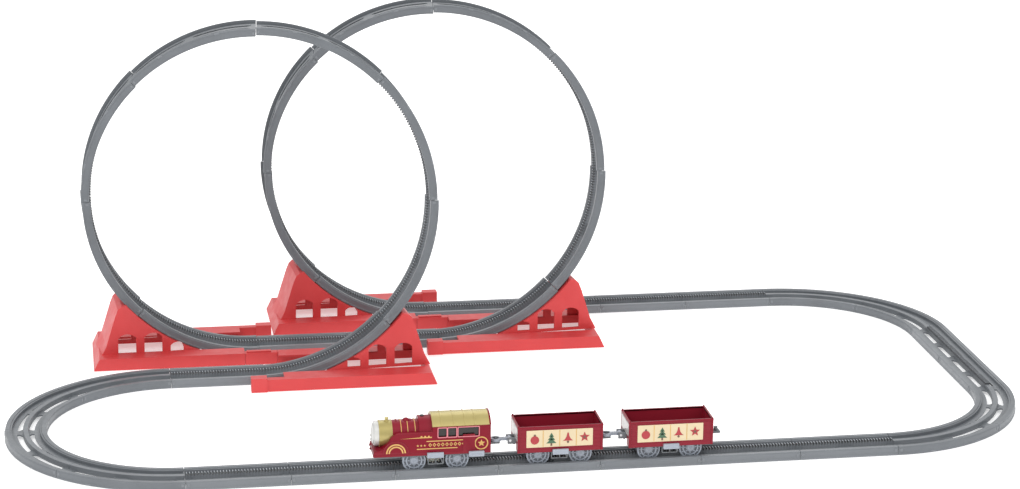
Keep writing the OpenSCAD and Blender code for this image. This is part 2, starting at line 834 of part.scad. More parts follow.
motor_y = [-9, 6.2];
module motor() {
    color(steel)
        difference() {
            union() {
                rod_y(motor_r, motor_y, motor_x, motor_z);
                rod_y(2.6, [motor_y[1] - 1, motor_y[1] + 0.5], motor_x, motor_z);
            }
            rod_y(pin_r + bearing_clear, [motor_y[1] - 3.5, motor_y[1] + 2], motor_x, motor_z);
        }
}

module motor_pinion() {
    color("gold") {
        gear(pinion_teeth, gear_m, pinion_turn, gear_thin, [large_y[0] - 0.1, large_y[1] + 0.1], motor_x, motor_z);
        rod_y(pin_r, [motor_y[1] - 3.3, large_y[1] + 0.1], motor_x, motor_z);
    }
}

module reduction_gear() {
    color("ivory")
        difference() {
            union() {
                gear(large_teeth, gear_m, 0, gear_thin, large_y, red_x, red_z);
                gear(small_teeth, gear_m, small_turn, gear_thin, [final_y[0], large_y[0] + eps], red_x, red_z);
            }
            rod_y(pin_r + bearing_clear, [0, 20], red_x, red_z);
        }
}

module reduction_pin() {
    color(steel)
        rod_y(pin_r, [box_in - box_t, box_out + box_t], red_x, red_z);
}

module drive_gear() {
    color("ivory") {
        gear(climb_teeth, rack_m, climb_turn, tooth_thin, [-2, 2], drive_x, drive_z);
        gear(final_teeth, gear_m, 0, gear_thin, final_y, drive_x, drive_z);
        rod_y(4, [1, final_y[0] + 1], drive_x, drive_z);
        rod_y(shaft_r, [box_in - box_t, box_out + box_t], drive_x, drive_z);
    }
}

module switch_knob() {
    color(black) {
        translate([knob_x, 0, boiler_z + fairing_r - 3.6])
            cylinder(r = knob_r, h = 4.6);
        slab(around(knob_x, [-2.2, 2.2]), [-3.4, 3.4], around(boiler_z + fairing_r, [-4.2, -2.6]));
    }
}

module switch_base() {
    color([0.25, 0.25, 0.26])
        slab([fairing_x + body_wall + 0.2, cab_x - 0.6], [-4.5, 4.5], around(boiler_z + fairing_r, [-9.5, -4.5]));
}

// self-tapping screw with its head below a plate at z
module screw(x, y, z, l) {
    translate([x, y, z - 1.2])
        cylinder(r = 2.6, h = 1.2);
    translate([x, y, z - 0.1])
        cylinder(r = 1.25, h = l);
}

module loco_screws() {
    color(steel)
        for (i = [0, 1])
            screw(screw_x[i], screw_y[i], plate_z[0], i == 0 ? 6.5 : 9);
}

// ---------------------------------------------------------------- wagons
tub_half = tub_w / 2 + gauge_shift;
tub_wall = 1.4;
tub_floor = [axle_z + wheel_r + 0.6, axle_z + wheel_r + 2.2];
wagon_plate = [tub_floor[0] - 2.2, tub_floor[0]];
wagon_screw_x = 34.2;
wagon_screw_y = 8.4;

module wagon_tub() {
    color(crimson)
        difference() {
            union() {
                slab([-tub_l / 2, tub_l / 2], [-tub_half, tub_half], [tub_skirt_z, tub_z]);
                // rim, corner posts and planks stand a little proud
                slab([-tub_l / 2 - 0.6, tub_l / 2 + 0.6], [-tub_half - 0.6, tub_half + 0.6], [tub_z - 2, tub_z]);
                for (x = [-tub_l / 2 - 0.3, tub_l / 2 - 1.7])
                    slab([x, x + 2], [-tub_half - 0.5, tub_half + 0.5], [tub_skirt_z, tub_z]);
            }
            slab([-tub_l / 2 + tub_wall, tub_l / 2 - tub_wall], [-tub_half + tub_wall, tub_half - tub_wall],
                 [tub_floor[1], tub_z + 1]);
            slab([-tub_l / 2 + tub_wall, tub_l / 2 - tub_wall], [-tub_half + tub_wall, tub_half - tub_wall],
                 [0, tub_floor[0]]);
            slab([-tub_l / 2 - 2, tub_l / 2 + 2], [-6.4, 6.4], [0, coupler_z + 3.2]);
            for (x = [-wagon_screw_x, wagon_screw_x])
                translate([x, wagon_screw_y, tub_floor[0] - 1])
                    cylinder(r = 1.25, h = 4);
        }
}

module wagon_chassis() {
    pivot_x = -tub_l / 2 - pivot_reach;
    color(grey)
        difference() {
            union() {
                difference() {
                    slab([-tub_l / 2 + tub_wall + 0.2, tub_l / 2 - tub_wall - 0.2],
                         [-tub_half + tub_wall + 0.2, tub_half - tub_wall - 0.2], wagon_plate);
                    wheel_slots(-wheelbase / 2, [0, 40]);
                    wheel_slots(wheelbase / 2, [0, 40]);
                }
                hangers(-wheelbase / 2, wagon_plate[1]);
                hangers(wheelbase / 2, wagon_plate[1]);
                hitch(tub_l / 2);
                // posts that carry the hitch and the ears on the plate
                slab([tub_l / 2 - 6, tub_l / 2 - tub_wall - 0.2], [-4, 4],
                     [min(wagon_plate[0], coupler_z - 3), coupler_z - 3 + hitch_t]);
                both_sides()
                    slab([-tub_l / 2 + tub_wall + 0.2, -tub_l / 2 + 8], [3.6, 5.6],
                         [min(wagon_plate[0], coupler_z - 3.2), coupler_z]);
                step_board(0, 14.6, tub_half + 0.2, tub_skirt_z);
                both_sides()
                    slab([-5.3, 5.3], [wheel_out, wheel_out + 1.8], [tub_skirt_z - 1.7, wagon_plate[1]]);
                // ears for the drawbar's pin
                both_sides()
                    slab([pivot_x - 2.4, -tub_l / 2 + 8], [3.6, 5.6], around(coupler_z, [-3.2, 2.6]));
            }
            rod_y(drawbar_pin_r, [-10, 10], pivot_x, coupler_z);
            for (x = [-wagon_screw_x, wagon_screw_x])
                translate([x, wagon_screw_y, 0])
                    cylinder(r = 1.6, h = 40);
        }
}

module wagon_panels() {
    color(cream)
        both_sides()
            slab([-32, 30.5], [tub_half + 0.02, tub_half + 0.42], [tub_skirt_z + 5.5, tub_z - 3.8]);
}

// ring that drops over the peg of the vehicle in front, on a bar that lifts about its pin
module drawbar() {
    pivot_x = -tub_l / 2 - pivot_reach;
    ring_x = pivot_x - drawbar_l;
    color(grey)
        difference() {
            union() {
                translate([ring_x, 0, coupler_z - bar_t / 2 + 0.4])
                    cylinder(r = ring_out, h = bar_t);
                slab([ring_x, pivot_x], [-2, 2], around(coupler_z, [-bar_t / 2 + 0.4, bar_t / 2 + 0.4]));
                rod_y(2.4, [-3.3, 3.3], pivot_x, coupler_z);
            }
            translate([ring_x, 0, coupler_z - 5])
                cylinder(r = ring_in, h = 10);
            rod_y(drawbar_pin_r + bearing_clear, [-5, 5], pivot_x, coupler_z);
        }
}

module drawbar_pin() {
    color(steel)
        rod_y(drawbar_pin_r, [-5.6, 5.6], -tub_l / 2 - pivot_reach, coupler_z);
}

module wagon_screws() {
    color(steel)
        for (x = [-wagon_screw_x, wagon_screw_x])
            screw(x, wagon_screw_y, wagon_plate[0], 2.4 + 1.4);
}

// ---------------------------------------------------------------- the set
translate([x_left, y_front, 0]) straight_run(front_n);  // front_straight
curve_run([x_left, y_front + curve_r], 90, 4);  // left_curve
translate([x_left, y_lane_a, 0]) straight_run(1);  // lane_a_straight
translate([x_loop_1, y_lane_b, 0]) straight_run(2);  // lane_b_straight
translate([x_loop_2, y_back, 0]) straight_run(front_n - 3);  // back_straight
curve_run([-x_left, y_back - curve_r], 0, 2);  // right_back_curve
translate([-x_left + curve_r, y_front + curve_r, 0]) rotate([0, 0, 90]) straight_run(2);  // right_straight
curve_run([-x_left, y_front + curve_r], -90, 2);  // right_front_curve
loop_track(x_loop_1, y_lane_a);  // loop_1_track
loop_track(x_loop_2, y_lane_b);  // loop_2_track
ground_clips();
loop_clips(x_loop_1, y_lane_a);  // loop_1_clips
loop_clips(x_loop_2, y_lane_b);  // loop_2_clips
front_support(x_loop_1, y_lane_a);  // loop_1_front_support
rear_support(x_loop_1, y_lane_a);  // loop_1_rear_support
front_support(x_loop_2, y_lane_b);  // loop_2_front_support
rear_support(x_loop_2, y_lane_b);  // loop_2_rear_support
support_links();
at_vehicle(loco_x) loco_body();
at_vehicle(loco_x) loco_roof();
at_vehicle(loco_x) loco_windows();
at_vehicle(loco_x) smokebox_front();
at_vehicle(loco_x) smokebox_ring();
at_vehicle(loco_x) loco_chassis();
at_vehicle(loco_x) battery();
at_vehicle(loco_x) battery_contacts();
at_vehicle(loco_x) motor();
at_vehicle(loco_x) motor_pinion();
at_vehicle(loco_x) reduction_gear();
at_vehicle(loco_x) reduction_pin();
at_vehicle(loco_x) drive_gear();
at_vehicle(loco_x) switch_knob();
at_vehicle(loco_x) switch_base();
at_vehicle(loco_x) loco_screws();
at_vehicle(loco_x) wheels(loco_axle_1);  // loco_front_wheels
at_vehicle(loco_x) axle(loco_axle_1);  // loco_front_axle
at_vehicle(loco_x) wheels(loco_axle_2);  // loco_rear_wheels
at_vehicle(loco_x) axle(loco_axle_2);  // loco_rear_axle
at_vehicle(wagon_1_x) wagon_tub();  // wagon_1_tub
at_vehicle(wagon_1_x) wagon_chassis();  // wagon_1_chassis
at_vehicle(wagon_1_x) wagon_panels();  // wagon_1_panels
at_vehicle(wagon_1_x) wheels(-wheelbase / 2);  // wagon_1_front_wheels
at_vehicle(wagon_1_x) axle(-wheelbase / 2);  // wagon_1_front_axle
at_vehicle(wagon_1_x) wheels(wheelbase / 2);  // wagon_1_rear_wheels
at_vehicle(wagon_1_x) axle(wheelbase / 2);  // wagon_1_rear_axle
at_vehicle(wagon_1_x) drawbar();  // wagon_1_drawbar
at_vehicle(wagon_1_x) drawbar_pin();  // wagon_1_drawbar_pin
at_vehicle(wagon_1_x) wagon_screws();  // wagon_1_screws
at_vehicle(wagon_2_x) wagon_tub();  // wagon_2_tub
at_vehicle(wagon_2_x) wagon_chassis();  // wagon_2_chassis
at_vehicle(wagon_2_x) wagon_panels();  // wagon_2_panels
at_vehicle(wagon_2_x) wheels(-wheelbase / 2);  // wagon_2_front_wheels
at_vehicle(wagon_2_x) axle(-wheelbase / 2);  // wagon_2_front_axle
at_vehicle(wagon_2_x) wheels(wheelbase / 2);  // wagon_2_rear_wheels
at_vehicle(wagon_2_x) axle(wheelbase / 2);  // wagon_2_rear_axle
at_vehicle(wagon_2_x) drawbar();  // wagon_2_drawbar
at_vehicle(wagon_2_x) drawbar_pin();  // wagon_2_drawbar_pin
at_vehicle(wagon_2_x) wagon_screws();  // wagon_2_screws
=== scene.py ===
"""Looks of a looping model train set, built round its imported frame.

All measures inside the builders are millimetres; MM turns them into metres when a mesh is made.
"""
import math

import bmesh
import bpy
import numpy as np
from mathutils import Matrix, Vector
from mathutils.geometry import tessellate_polygon


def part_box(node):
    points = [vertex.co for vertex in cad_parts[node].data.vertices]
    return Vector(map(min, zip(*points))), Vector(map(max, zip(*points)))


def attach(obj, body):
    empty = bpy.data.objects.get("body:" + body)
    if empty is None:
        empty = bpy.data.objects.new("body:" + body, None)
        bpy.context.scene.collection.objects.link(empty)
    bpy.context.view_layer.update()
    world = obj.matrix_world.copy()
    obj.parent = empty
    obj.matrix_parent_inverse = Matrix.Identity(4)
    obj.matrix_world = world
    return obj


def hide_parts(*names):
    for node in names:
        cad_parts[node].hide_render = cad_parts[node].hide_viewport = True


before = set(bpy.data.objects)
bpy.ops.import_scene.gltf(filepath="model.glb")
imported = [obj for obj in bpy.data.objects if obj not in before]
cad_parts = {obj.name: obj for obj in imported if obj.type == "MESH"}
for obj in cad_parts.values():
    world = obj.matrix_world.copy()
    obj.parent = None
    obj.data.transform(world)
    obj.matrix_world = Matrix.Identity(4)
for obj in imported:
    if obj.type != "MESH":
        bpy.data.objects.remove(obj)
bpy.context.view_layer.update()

bl_info = {
    "name": "Looping Train Set",
    "version": (1, 0, 0),
    "blender": (4, 5, 0),
    "location": "3D View > Sidebar > Train Set",
    "description": "Track, loops, supports, locomotive and wagons of a toy train set",
    "category": "Add Mesh",
}

MM = 0.001
WAGONS = ("wagon_1", "wagon_2")
LANES = ("front_straight", "lane_a_straight", "lane_b_straight", "back_straight")
SUPPORTS = ("loop_1_front_support", "loop_1_rear_support", "loop_2_front_support", "loop_2_rear_support")


# ---------------------------------------------------------------- sizes from the frame
def corners(node):
    """Lowest and highest corner of a CAD node, in millimetres."""
    low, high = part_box(node)
    return np.array(low) / MM, np.array(high) / MM


def centre(node):
    """Middle of a CAD node's box, in millimetres."""
    low, high = corners(node)
    return (low + high) / 2


def length(default, name, text):
    """A length property: default in millimetres, shown in scene units."""
    return bpy.props.FloatProperty(name=name, description=text, default=default * MM, min=0.0,
                                   unit="LENGTH", precision=4)


def colour(default, name, text):
    """A colour property in linear light."""
    return bpy.props.FloatVectorProperty(name=name, description=text, default=default, subtype="COLOR",
                                         size=3, min=0.0, max=1.0)


def measures(group):
    """The length properties of a group as plain millimetres, the rest as they are."""
    found = {}
    for name, prop in group.bl_rna.properties.items():
        if name in ("rna_type", "name"):
            continue
        value = getattr(group, name)
        found[name] = value / MM if getattr(prop, "unit", "") == "LENGTH" else value
    return type("Sizes", (), found)


class TrackSizes(bpy.types.PropertyGroup):
    """Sizes that every track section shares."""

    section: length(96, "Section length", "Length of one straight section")
    width: length(40, "Track width", "Width over both side skirts")
    rail_h: length(8.4, "Rail height", "Height of the side rails")
    rail_w: length(6.8, "Rail width", "Width of one side rail")
    wall: length(1.6, "Wall", "Wall of the hollow side rails")
    floor_h: length(4.5, "Floor height", "Top of the floor that the wheels run on")
    floor_w: length(5.1, "Floor width", "Width of each floor strip")
    floor_t: length(1.5, "Floor thickness", "Thickness of the floor")
    rack_w: length(5, "Rack width", "Width of the toothed strip")
    rack_up: length(0.72, "Tooth height", "Height of a rack tooth above its pitch line")
    gap: length(0.4, "Joint gap", "Gap between two sections")
    curve_r: length(144, "Curve radius", "Radius of the flat curves")
    loop_r: length(179, "Loop radius", "Radius of a loop's outer skin")
    teeth: bpy.props.IntProperty(name="Rack teeth", description="Teeth on one straight section", default=34)
    loop_teeth: bpy.props.IntProperty(name="Loop teeth", description="Teeth on one loop section", default=47)


class TrainSizes(bpy.types.PropertyGroup):
    """Sizes that the vehicles share."""

    wheel_d: length(22, "Wheel", "Diameter of a wheel's tread")
    wheel_w: length(3.4, "Wheel width", "Width of a wheel")
    wheel_out: length(12.8, "Wheel face", "Distance of a wheel's outer face from the middle")
    loco_half: length(16, "Locomotive half width", "Half the width of the locomotive's body")
    skirt_z: length(21.5, "Skirt height", "Lower edge of the locomotive's body")
    cab_z: length(49, "Cab height", "Top of the cab's walls")
    boiler_z: length(39.5, "Boiler height", "Height of the boiler's middle")
    boiler_r: length(12, "Boiler radius", "Radius of the boiler")
    hood_r: length(15.2, "Fairing radius", "Radius of the fairing in front of the cab")
    roof_r: length(21.25, "Roof radius", "Radius of the roof's arch")
    roof_mid: length(36.25, "Roof centre", "Height of the middle of the roof's arch")
    eaves_z: length(49.2, "Eaves height", "Lower edge of the roof")
    wall: length(1.6, "Body wall", "Wall of the locomotive's body")
    tub_wall: length(1.4, "Wagon wall", "Wall of a wagon")


class Finishes(bpy.types.PropertyGroup):
    """Colours of the mouldings, painted parts and metals."""

    track: colour((0.128, 0.139, 0.152), "Track", "Grey of the track")
    coral: colour((0.53, 0.045, 0.047), "Supports", "Coral red of the supports")
    crimson: colour((0.19, 0.0006, 0.012), "Body", "Deep red of the locomotive and wagons")
    rose: colour((0.62, 0.19, 0.22), "Window frames", "Rose of the window frames")
    gold: colour((0.40, 0.33, 0.12), "Gold", "Gold lacquer of the roof and ring")
    trim: colour((0.55, 0.33, 0.10), "Trim", "Printed gold lines")
    cream: colour((0.66, 0.54, 0.34), "Panels", "Cream of the printed panels")
    wheel: colour((0.27, 0.30, 0.35), "Wheels", "Pale grey of wheels and steps")
    chassis: colour((0.115, 0.125, 0.135), "Chassis", "Grey of the chassis")
    front: colour((0.55, 0.55, 0.53), "Smokebox front", "Silvery white of the smokebox front")


class StudioSettings(bpy.types.PropertyGroup):
    """Where the camera stands and how bright the studio is."""

    camera_at: bpy.props.FloatVectorProperty(name="Camera", description="Place of the camera",
                                             default=(-0.4341, -2.6032, 0.8990), subtype="TRANSLATION",
                                             unit="LENGTH")
    turn: bpy.props.FloatProperty(name="Turn", description="Angle towards +X", default=0.16764,
                                  subtype="ANGLE")
    tip: bpy.props.FloatProperty(name="Tip", description="Angle downwards", default=0.27904, subtype="ANGLE")
    roll: bpy.props.FloatProperty(name="Roll", description="Angle about the view", default=0.01015,
                                  subtype="ANGLE")
    lens: bpy.props.FloatProperty(name="Lens", description="Focal length in millimetres", default=96.02)
    world: bpy.props.FloatProperty(name="World light", description="Strength of the sky", default=0.85)
    key: bpy.props.FloatProperty(name="Key light", description="Power of the main soft box", default=42.0,
                                 subtype="POWER")


# ---------------------------------------------------------------- surfaces
def lattice(nu, nv, wrap_u=False, wrap_v=False):
    """Quads that join neighbours on an nu by nv grid of points, closed round where asked."""
    i = np.arange(nu if wrap_u else nu - 1)[:, None]
    j = np.arange(nv if wrap_v else nv - 1)[None, :]
    i1, j1 = (i + 1) % nu, (j + 1) % nv
    return np.stack([i * nv + j, i1 * nv + j, i1 * nv + j1, i * nv + j1], -1).reshape(-1, 4)


def ends(n, m):
    """The two end faces of an n by m grid of points that closes round in its second direction."""
    return [list(range(m)), list(range((n - 1) * m, n * m))[::-1]]


def about(axis, along, u, v):
    """Points from their place along an axis and their two places across it."""
    return np.stack({"x": [along, u, v], "y": [u, along, v], "z": [u, v, along]}[axis], -1)


def across(side, near, far):
    """Span between two distances from the middle, on one side of it."""
    return sorted((side * near, side * far))


class Part:
    """Collects surfaces, in millimetres, that become one mesh object."""

    def __init__(self):
        self.points, self.faces, self.count, self.marks = [], [], 0, []

    def add(self, points, faces, mark=0):
        points = np.asarray(points, float).reshape(-1, 3)
        self.points.append(points)
        faces = [list(map(int, f)) for f in (faces.tolist() if isinstance(faces, np.ndarray) else faces)]
        shift = self.count
        self.faces += [[k + shift for k in f] for f in faces]
        self.marks += [mark] * len(faces)
        self.count += len(points)
        return self

    def merge(self, other, move=(0, 0, 0), turn=None, flip_y=False, mark=None):
        """Adds another part's surfaces, turned by a 3 by 3 matrix, mirrored and moved."""
        points = np.concatenate(other.points)
        if turn is not None:
            points = points @ np.asarray(turn).T
        if flip_y:
            points = points * [1, -1, 1]
        start = self.count
        self.points.append(points + np.asarray(move, float))
        self.faces += [[k + start for k in f] for f in other.faces]
        self.marks += other.marks if mark is None else [mark] * len(other.faces)
        self.count += len(points)
        return self

    def both_sides(self):
        """Adds a copy mirrored in Y."""
        copy = Part()
        copy.merge(self)
        return self.merge(copy, flip_y=True)

    def object(self, name, body, slot, materials, replaces=(), smooth=40, at=(0, 0, 0)):
        """Makes the mesh, gives it its finish and rides it on a body."""
        mesh = bpy.data.meshes.new(name)
        points = (np.concatenate(self.points) + np.asarray(at, float)) * MM
        mesh.from_pydata(points.tolist(), [], self.faces)
        for m in materials:
            mesh.materials.append(m)
        mesh.polygons.foreach_set("material_index", np.array(self.marks, np.int32))
        work = bmesh.new()
        work.from_mesh(mesh)
        bmesh.ops.recalc_face_normals(work, faces=work.faces)
        work.to_mesh(mesh)
        work.free()
        mesh.polygons.foreach_set("use_smooth", np.ones(len(mesh.polygons), bool))
        mesh.set_sharp_from_angle(angle=math.radians(smooth))
        mesh.update()
        obj = bpy.data.objects.new(name, mesh)
        bpy.context.scene.collection.objects.link(obj)
        even = obj.modifiers.new("Even shading", "WEIGHTED_NORMAL")
        even.keep_sharp = True
        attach(obj, body)
        if replaces:
            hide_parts(*replaces)
        return obj


def rounded(points, radius, steps=3):
    """Outline with its corners rounded: each corner becomes a quadratic arc that starts and ends
    radius away from it, so radius 0 leaves a corner sharp. radius is one number or one per corner."""
    c = np.asarray(points, float)
    r = np.broadcast_to(np.asarray(radius, float), (len(c),))[:, None, None]
    back, on = np.roll(c, 1, 0) - c, np.roll(c, -1, 0) - c
    back /= np.linalg.norm(back, axis=1, keepdims=True)
    on /= np.linalg.norm(on, axis=1, keepdims=True)
    t = np.linspace(0, 1, steps + 1)[None, :, None]
    arc = c[:, None] + r * ((1 - t) ** 2 * back[:, None] + t ** 2 * on[:, None])
    arc = arc.reshape(-1, 2)
    return arc[np.linalg.norm(arc - np.roll(arc, 1, 0), axis=1) > 1e-6]


def ring_points(r, n=48, x=0.0, z=0.0, start=0.0, sweep=360.0):
    """Points round a circle, or along an arc when sweep is under 360 degrees."""
    a = np.radians(start + np.linspace(0, sweep, n, endpoint=sweep < 360))
    return np.stack([x + r * np.cos(a), z + r * np.sin(a)], 1)


def inset(outline, by):
    """Outline moved inwards by a distance along its mitred normals."""
    c = np.asarray(outline, float)
    on = np.roll(c, -1, 0) - c
    on /= np.linalg.norm(on, axis=1, keepdims=True)
    back = np.roll(on, 1, 0)
    area = np.sum(c[:, 0] * np.roll(c[:, 1], -1) - np.roll(c[:, 0], -1) * c[:, 1])
    side = 1 if area > 0 else -1
    n1 = np.stack([-back[:, 1], back[:, 0]], 1) * side
    n2 = np.stack([-on[:, 1], on[:, 0]], 1) * side
    mitre = (n1 + n2) / np.maximum(1 + np.sum(n1 * n2, 1, keepdims=True), 0.35)
    return c + by * mitre


def plane(points, depth, axis):
    """Places a flat outline at a depth: its two numbers are the other two axes in order."""
    d = np.full(len(points), depth)
    a, b = points[:, 0], points[:, 1]
    return np.stack({"x": [d, a, b], "y": [a, d, b], "z": [a, b, d]}[axis], 1)


def plate(loops, depths, edge=0.4, axis="y", steps=2):
    """Plate cut to an outline, the first loop, with holes, the other loops: the outline is carried
    along an axis, and near both faces it draws in by a quarter circle of radius edge."""
    t = np.radians(np.linspace(0, 90, steps + 1))
    draw = np.concatenate([edge * (1 - np.sin(t)), edge * (1 - np.sin(t[::-1]))])
    depth = np.concatenate([depths[0] + edge * (1 - np.cos(t)), depths[1] - edge * (1 - np.cos(t[::-1]))])
    part = Part()
    first, last = [], []
    outlines = [np.asarray(loop, float) for loop in loops]
    rings, faces, base = [], [], 0
    for k, loop in enumerate(outlines):
        n = len(loop)
        grid = np.stack([plane(inset(loop, d if k == 0 else -d), z, axis) for d, z in zip(draw, depth)])
        rings.append(grid.reshape(-1, 3))
        faces += (lattice(len(draw), n, wrap_v=True) + base).tolist()
        first += list(range(base, base + n))
        last += list(range(base + (len(draw) - 1) * n, base + len(draw) * n))
        base += len(draw) * n
    flat = [[Vector((p[0], p[1], 0)) for p in inset(loop, draw[0] if k == 0 else -draw[0])]
            for k, loop in enumerate(outlines)]
    for tri in tessellate_polygon(flat):
        faces.append([first[i] for i in tri])
        faces.append([last[i] for i in reversed(tri)])
    part.add(np.concatenate(rings), faces)
    return part


def block(x, y, z, edge=0.4, steps=2):
    """Box with rounded edges: a sphere of radius edge, cut along its three middle planes and drawn
    apart to the corners, on a grid of latitude and longitude."""
    low, high = np.array([x[0], y[0], z[0]], float), np.array([x[1], y[1], z[1]], float)
    edge = min(edge, (high - low).min() * 0.49)
    lat = np.radians(np.concatenate([np.linspace(-90, 0, steps + 1), np.linspace(0, 90, steps + 1)]))
    lat_side = np.repeat([-1, 1], steps + 1)
    lon = np.radians(np.concatenate([np.linspace(q, q + 90, steps + 1) for q in (0, 90, 180, 270)]))
    sx, sy = np.repeat([1, -1, -1, 1], steps + 1), np.repeat([1, 1, -1, -1], steps + 1)
    half = (high - low) / 2 - edge
    la, lo = lat[:, None], lon[None, :]
    px = sx * half[0] + edge * np.cos(la) * np.cos(lo)
    py = sy * half[1] + edge * np.cos(la) * np.sin(lo)
    pz = (lat_side * half[2] + edge * np.sin(lat))[:, None] + 0 * lo
    grid = np.stack([px, py, pz], -1)
    nu, nv = grid.shape[:2]
    faces = lattice(nu, nv, wrap_v=True).tolist()
    faces += [f[::-1] for f in ends(nu, nv)]
    return Part().add(grid.reshape(-1, 3) + (low + high) / 2, faces)


def turned(profile, at, axis="y", n=48, ripple=None):
    """Solid of revolution: a profile of (along, radius) points turned about an axis through at.
    Its two ends close at the axis. ripple, if given, changes the radius with the angle."""
    p = np.asarray(profile, float)
    a = np.linspace(0, 2 * np.pi, n, endpoint=False)
    r = p[:, 1][:, None] * np.ones((1, n))
    if ripple is not None:
        r = r + ripple(p, a)
    along = p[:, 0][:, None] + 0 * a
    u, v = r * np.cos(a), r * np.sin(a)
    grid = about(axis, along, u, v)
    m = len(p)
    points = np.concatenate([grid.reshape(-1, 3), grid[0].mean(0)[None], grid[-1].mean(0)[None]])
    faces = lattice(m, n, wrap_v=True).tolist()
    k = np.arange(n)
    faces += np.stack([k, (k + 1) % n, np.full(n, m * n)], 1).tolist()
    faces += np.stack([(m - 1) * n + (k + 1) % n, (m - 1) * n + k, np.full(n, m * n + 1)], 1).tolist()
    return Part().add(points + np.asarray(at, float), faces)


def hoop(section, at, axis="y", n=64, start=0.0, sweep=360.0):
    """Ring: a closed section of (along, radius) points turned about an axis, all the way or part."""
    p = np.asarray(section, float)
    whole = sweep >= 360
    a = np.radians(start + np.linspace(0, sweep, n, endpoint=not whole))
    r, along = p[:, 1][None, :], p[:, 0][None, :] + 0 * a[:, None]
    u, v = r * np.cos(a)[:, None], r * np.sin(a)[:, None]
    grid = about(axis, along, u, v)
    faces = lattice(n, len(p), wrap_u=whole, wrap_v=True).tolist()
    if not whole:
        faces += [f[::-1] for f in ends(n, len(p))]
    return Part().add(grid.reshape(-1, 3) + np.asarray(at, float), faces)


def band(outline, reach, thick, edge=0.3, axis="y"):
    """Strip that follows an open line of points, thick mm deep on its right-hand side, and reaches
    across from reach[0] to reach[1]."""
    c = np.asarray(outline, float)
    on = np.gradient(c, axis=0)
    on /= np.linalg.norm(on, axis=1, keepdims=True)
    other = c + thick * np.stack([on[:, 1], -on[:, 0]], 1)
    return plate([np.concatenate([c, other[::-1]])], reach, edge, axis)


def star(r, x, z, points=5, inner=0.45):
    """Outline of a star."""
    k = np.arange(2 * points)
    a = np.radians(90) + k * np.pi / points
    rr = np.where(k % 2 == 0, r, r * inner)
    return np.stack([x + rr * np.cos(a), z + rr * np.sin(a)], 1)


# ---------------------------------------------------------------- finishes
class Nodes:
    """Short way to write a node tree."""

    def __init__(self, name):
        self.material = bpy.data.materials.new(name)
        self.material.use_nodes = True
        self.tree = self.material.node_tree
        self.shader = self.tree.nodes["Principled BSDF"]
        self.place = self.node("ShaderNodeTexCoord").outputs["Object"]

    def node(self, kind, inputs=None, **settings):
        made = self.tree.nodes.new(kind)
        for key, value in settings.items():
            setattr(made, key, value)
        for key, value in (inputs or {}).items():
            self.put(value, made.inputs[key])
        return made

    def put(self, value, socket):
        if isinstance(value, bpy.types.NodeSocket):
            self.tree.links.new(value, socket)
        else:
            socket.default_value = value

    def noise(self, scale, detail=3.0, rough=0.5, stretch=(1, 1, 1)):
        """Noise on object coordinates, scale in features per metre."""
        place = self.node("ShaderNodeMapping", {"Vector": self.place, "Scale": stretch}).outputs["Vector"]
        return self.node("ShaderNodeTexNoise", {"Vector": place, "Scale": scale, "Detail": detail,
                                                "Roughness": rough}).outputs["Fac"]

    def spread(self, value, low, high, to_low=0.0, to_high=1.0):
        """Value stretched from one range to another."""
        return self.node("ShaderNodeMapRange", {"Value": value, "From Min": low, "From Max": high,
                                                "To Min": to_low, "To Max": to_high}).outputs["Result"]

    def mix(self, amount, one, two):
        """One colour turning into another."""
        made = self.node("ShaderNodeMix", data_type="RGBA")
        for value, index in ((amount, 0), (one, 6), (two, 7)):
            self.put(value, made.inputs[index])
        return made.outputs[2]

    def cover(self, tone, gloss, fixed=None):
        """Links the surface's colour and roughness, and sets what stays the same all over."""
        self.put(tone, self.shader.inputs["Base Color"])
        self.put(gloss, self.shader.inputs["Roughness"])
        for key, value in (fixed or {}).items():
            self.put(value, self.shader.inputs[key])

    def relief(self, strength, distance, height):
        """Bumps the surface by a height."""
        made = self.node("ShaderNodeBump", {"Strength": strength, "Distance": distance, "Height": height})
        self.put(made.outputs["Normal"], self.shader.inputs["Normal"])

    def edges(self, low=0.52, high=0.62):
        """How sharp the surface is: 1 along outer edges."""
        point = self.node("ShaderNodeNewGeometry").outputs["Pointiness"]
        return self.spread(point, low, high)


def shade(c, by):
    """A colour scaled in brightness, as four numbers."""
    return tuple(min(1.0, x * by) for x in c[:3]) + (1.0,)


def moulded(name, c, rough=0.42, mottle=0.10, grain=0.10, streak=(1, 1, 1), wear=0.25, metal=0.0, coat=0.0,
            fine=1400.0, see_through=0.0, shine=0.5):
    """Moulded plastic: slow clouds of tone from the flow of the melt, a fine grain in its bump and
    gloss, and lighter rubbed edges."""
    n = Nodes(name)
    flow = n.noise(28, 4, 0.55, streak)
    speck = n.noise(fine / 2, 2, 0.6)
    tone = n.mix(n.spread(flow, 0.3, 0.7), shade(c, 1 - mottle), shade(c, 1 + mottle))
    tone = n.mix(n.spread(speck, 0.35, 0.75, 0, 0.35), tone, shade(c, 1 + 1.6 * mottle))
    tone = n.mix(n.spread(n.edges(), 0, 1, 0, wear), tone, shade([x + 0.04 for x in c[:3]], 1.35))
    gloss = n.spread(n.noise(90, 4, 0.6), 0.3, 0.7, rough - 0.06, rough + 0.08)
    fixed = {"Metallic": metal, "Coat Weight": coat, "Specular IOR Level": shine, "Coat Roughness": 0.12}
    if see_through:
        fixed.update({"Subsurface Weight": see_through, "Subsurface Radius": (1.0, 0.35, 0.25),
                      "Subsurface Scale": 0.003})
    n.cover(tone, gloss, fixed)
    n.relief(grain, 0.0003, n.noise(fine, 3, 0.6))
    return n.material


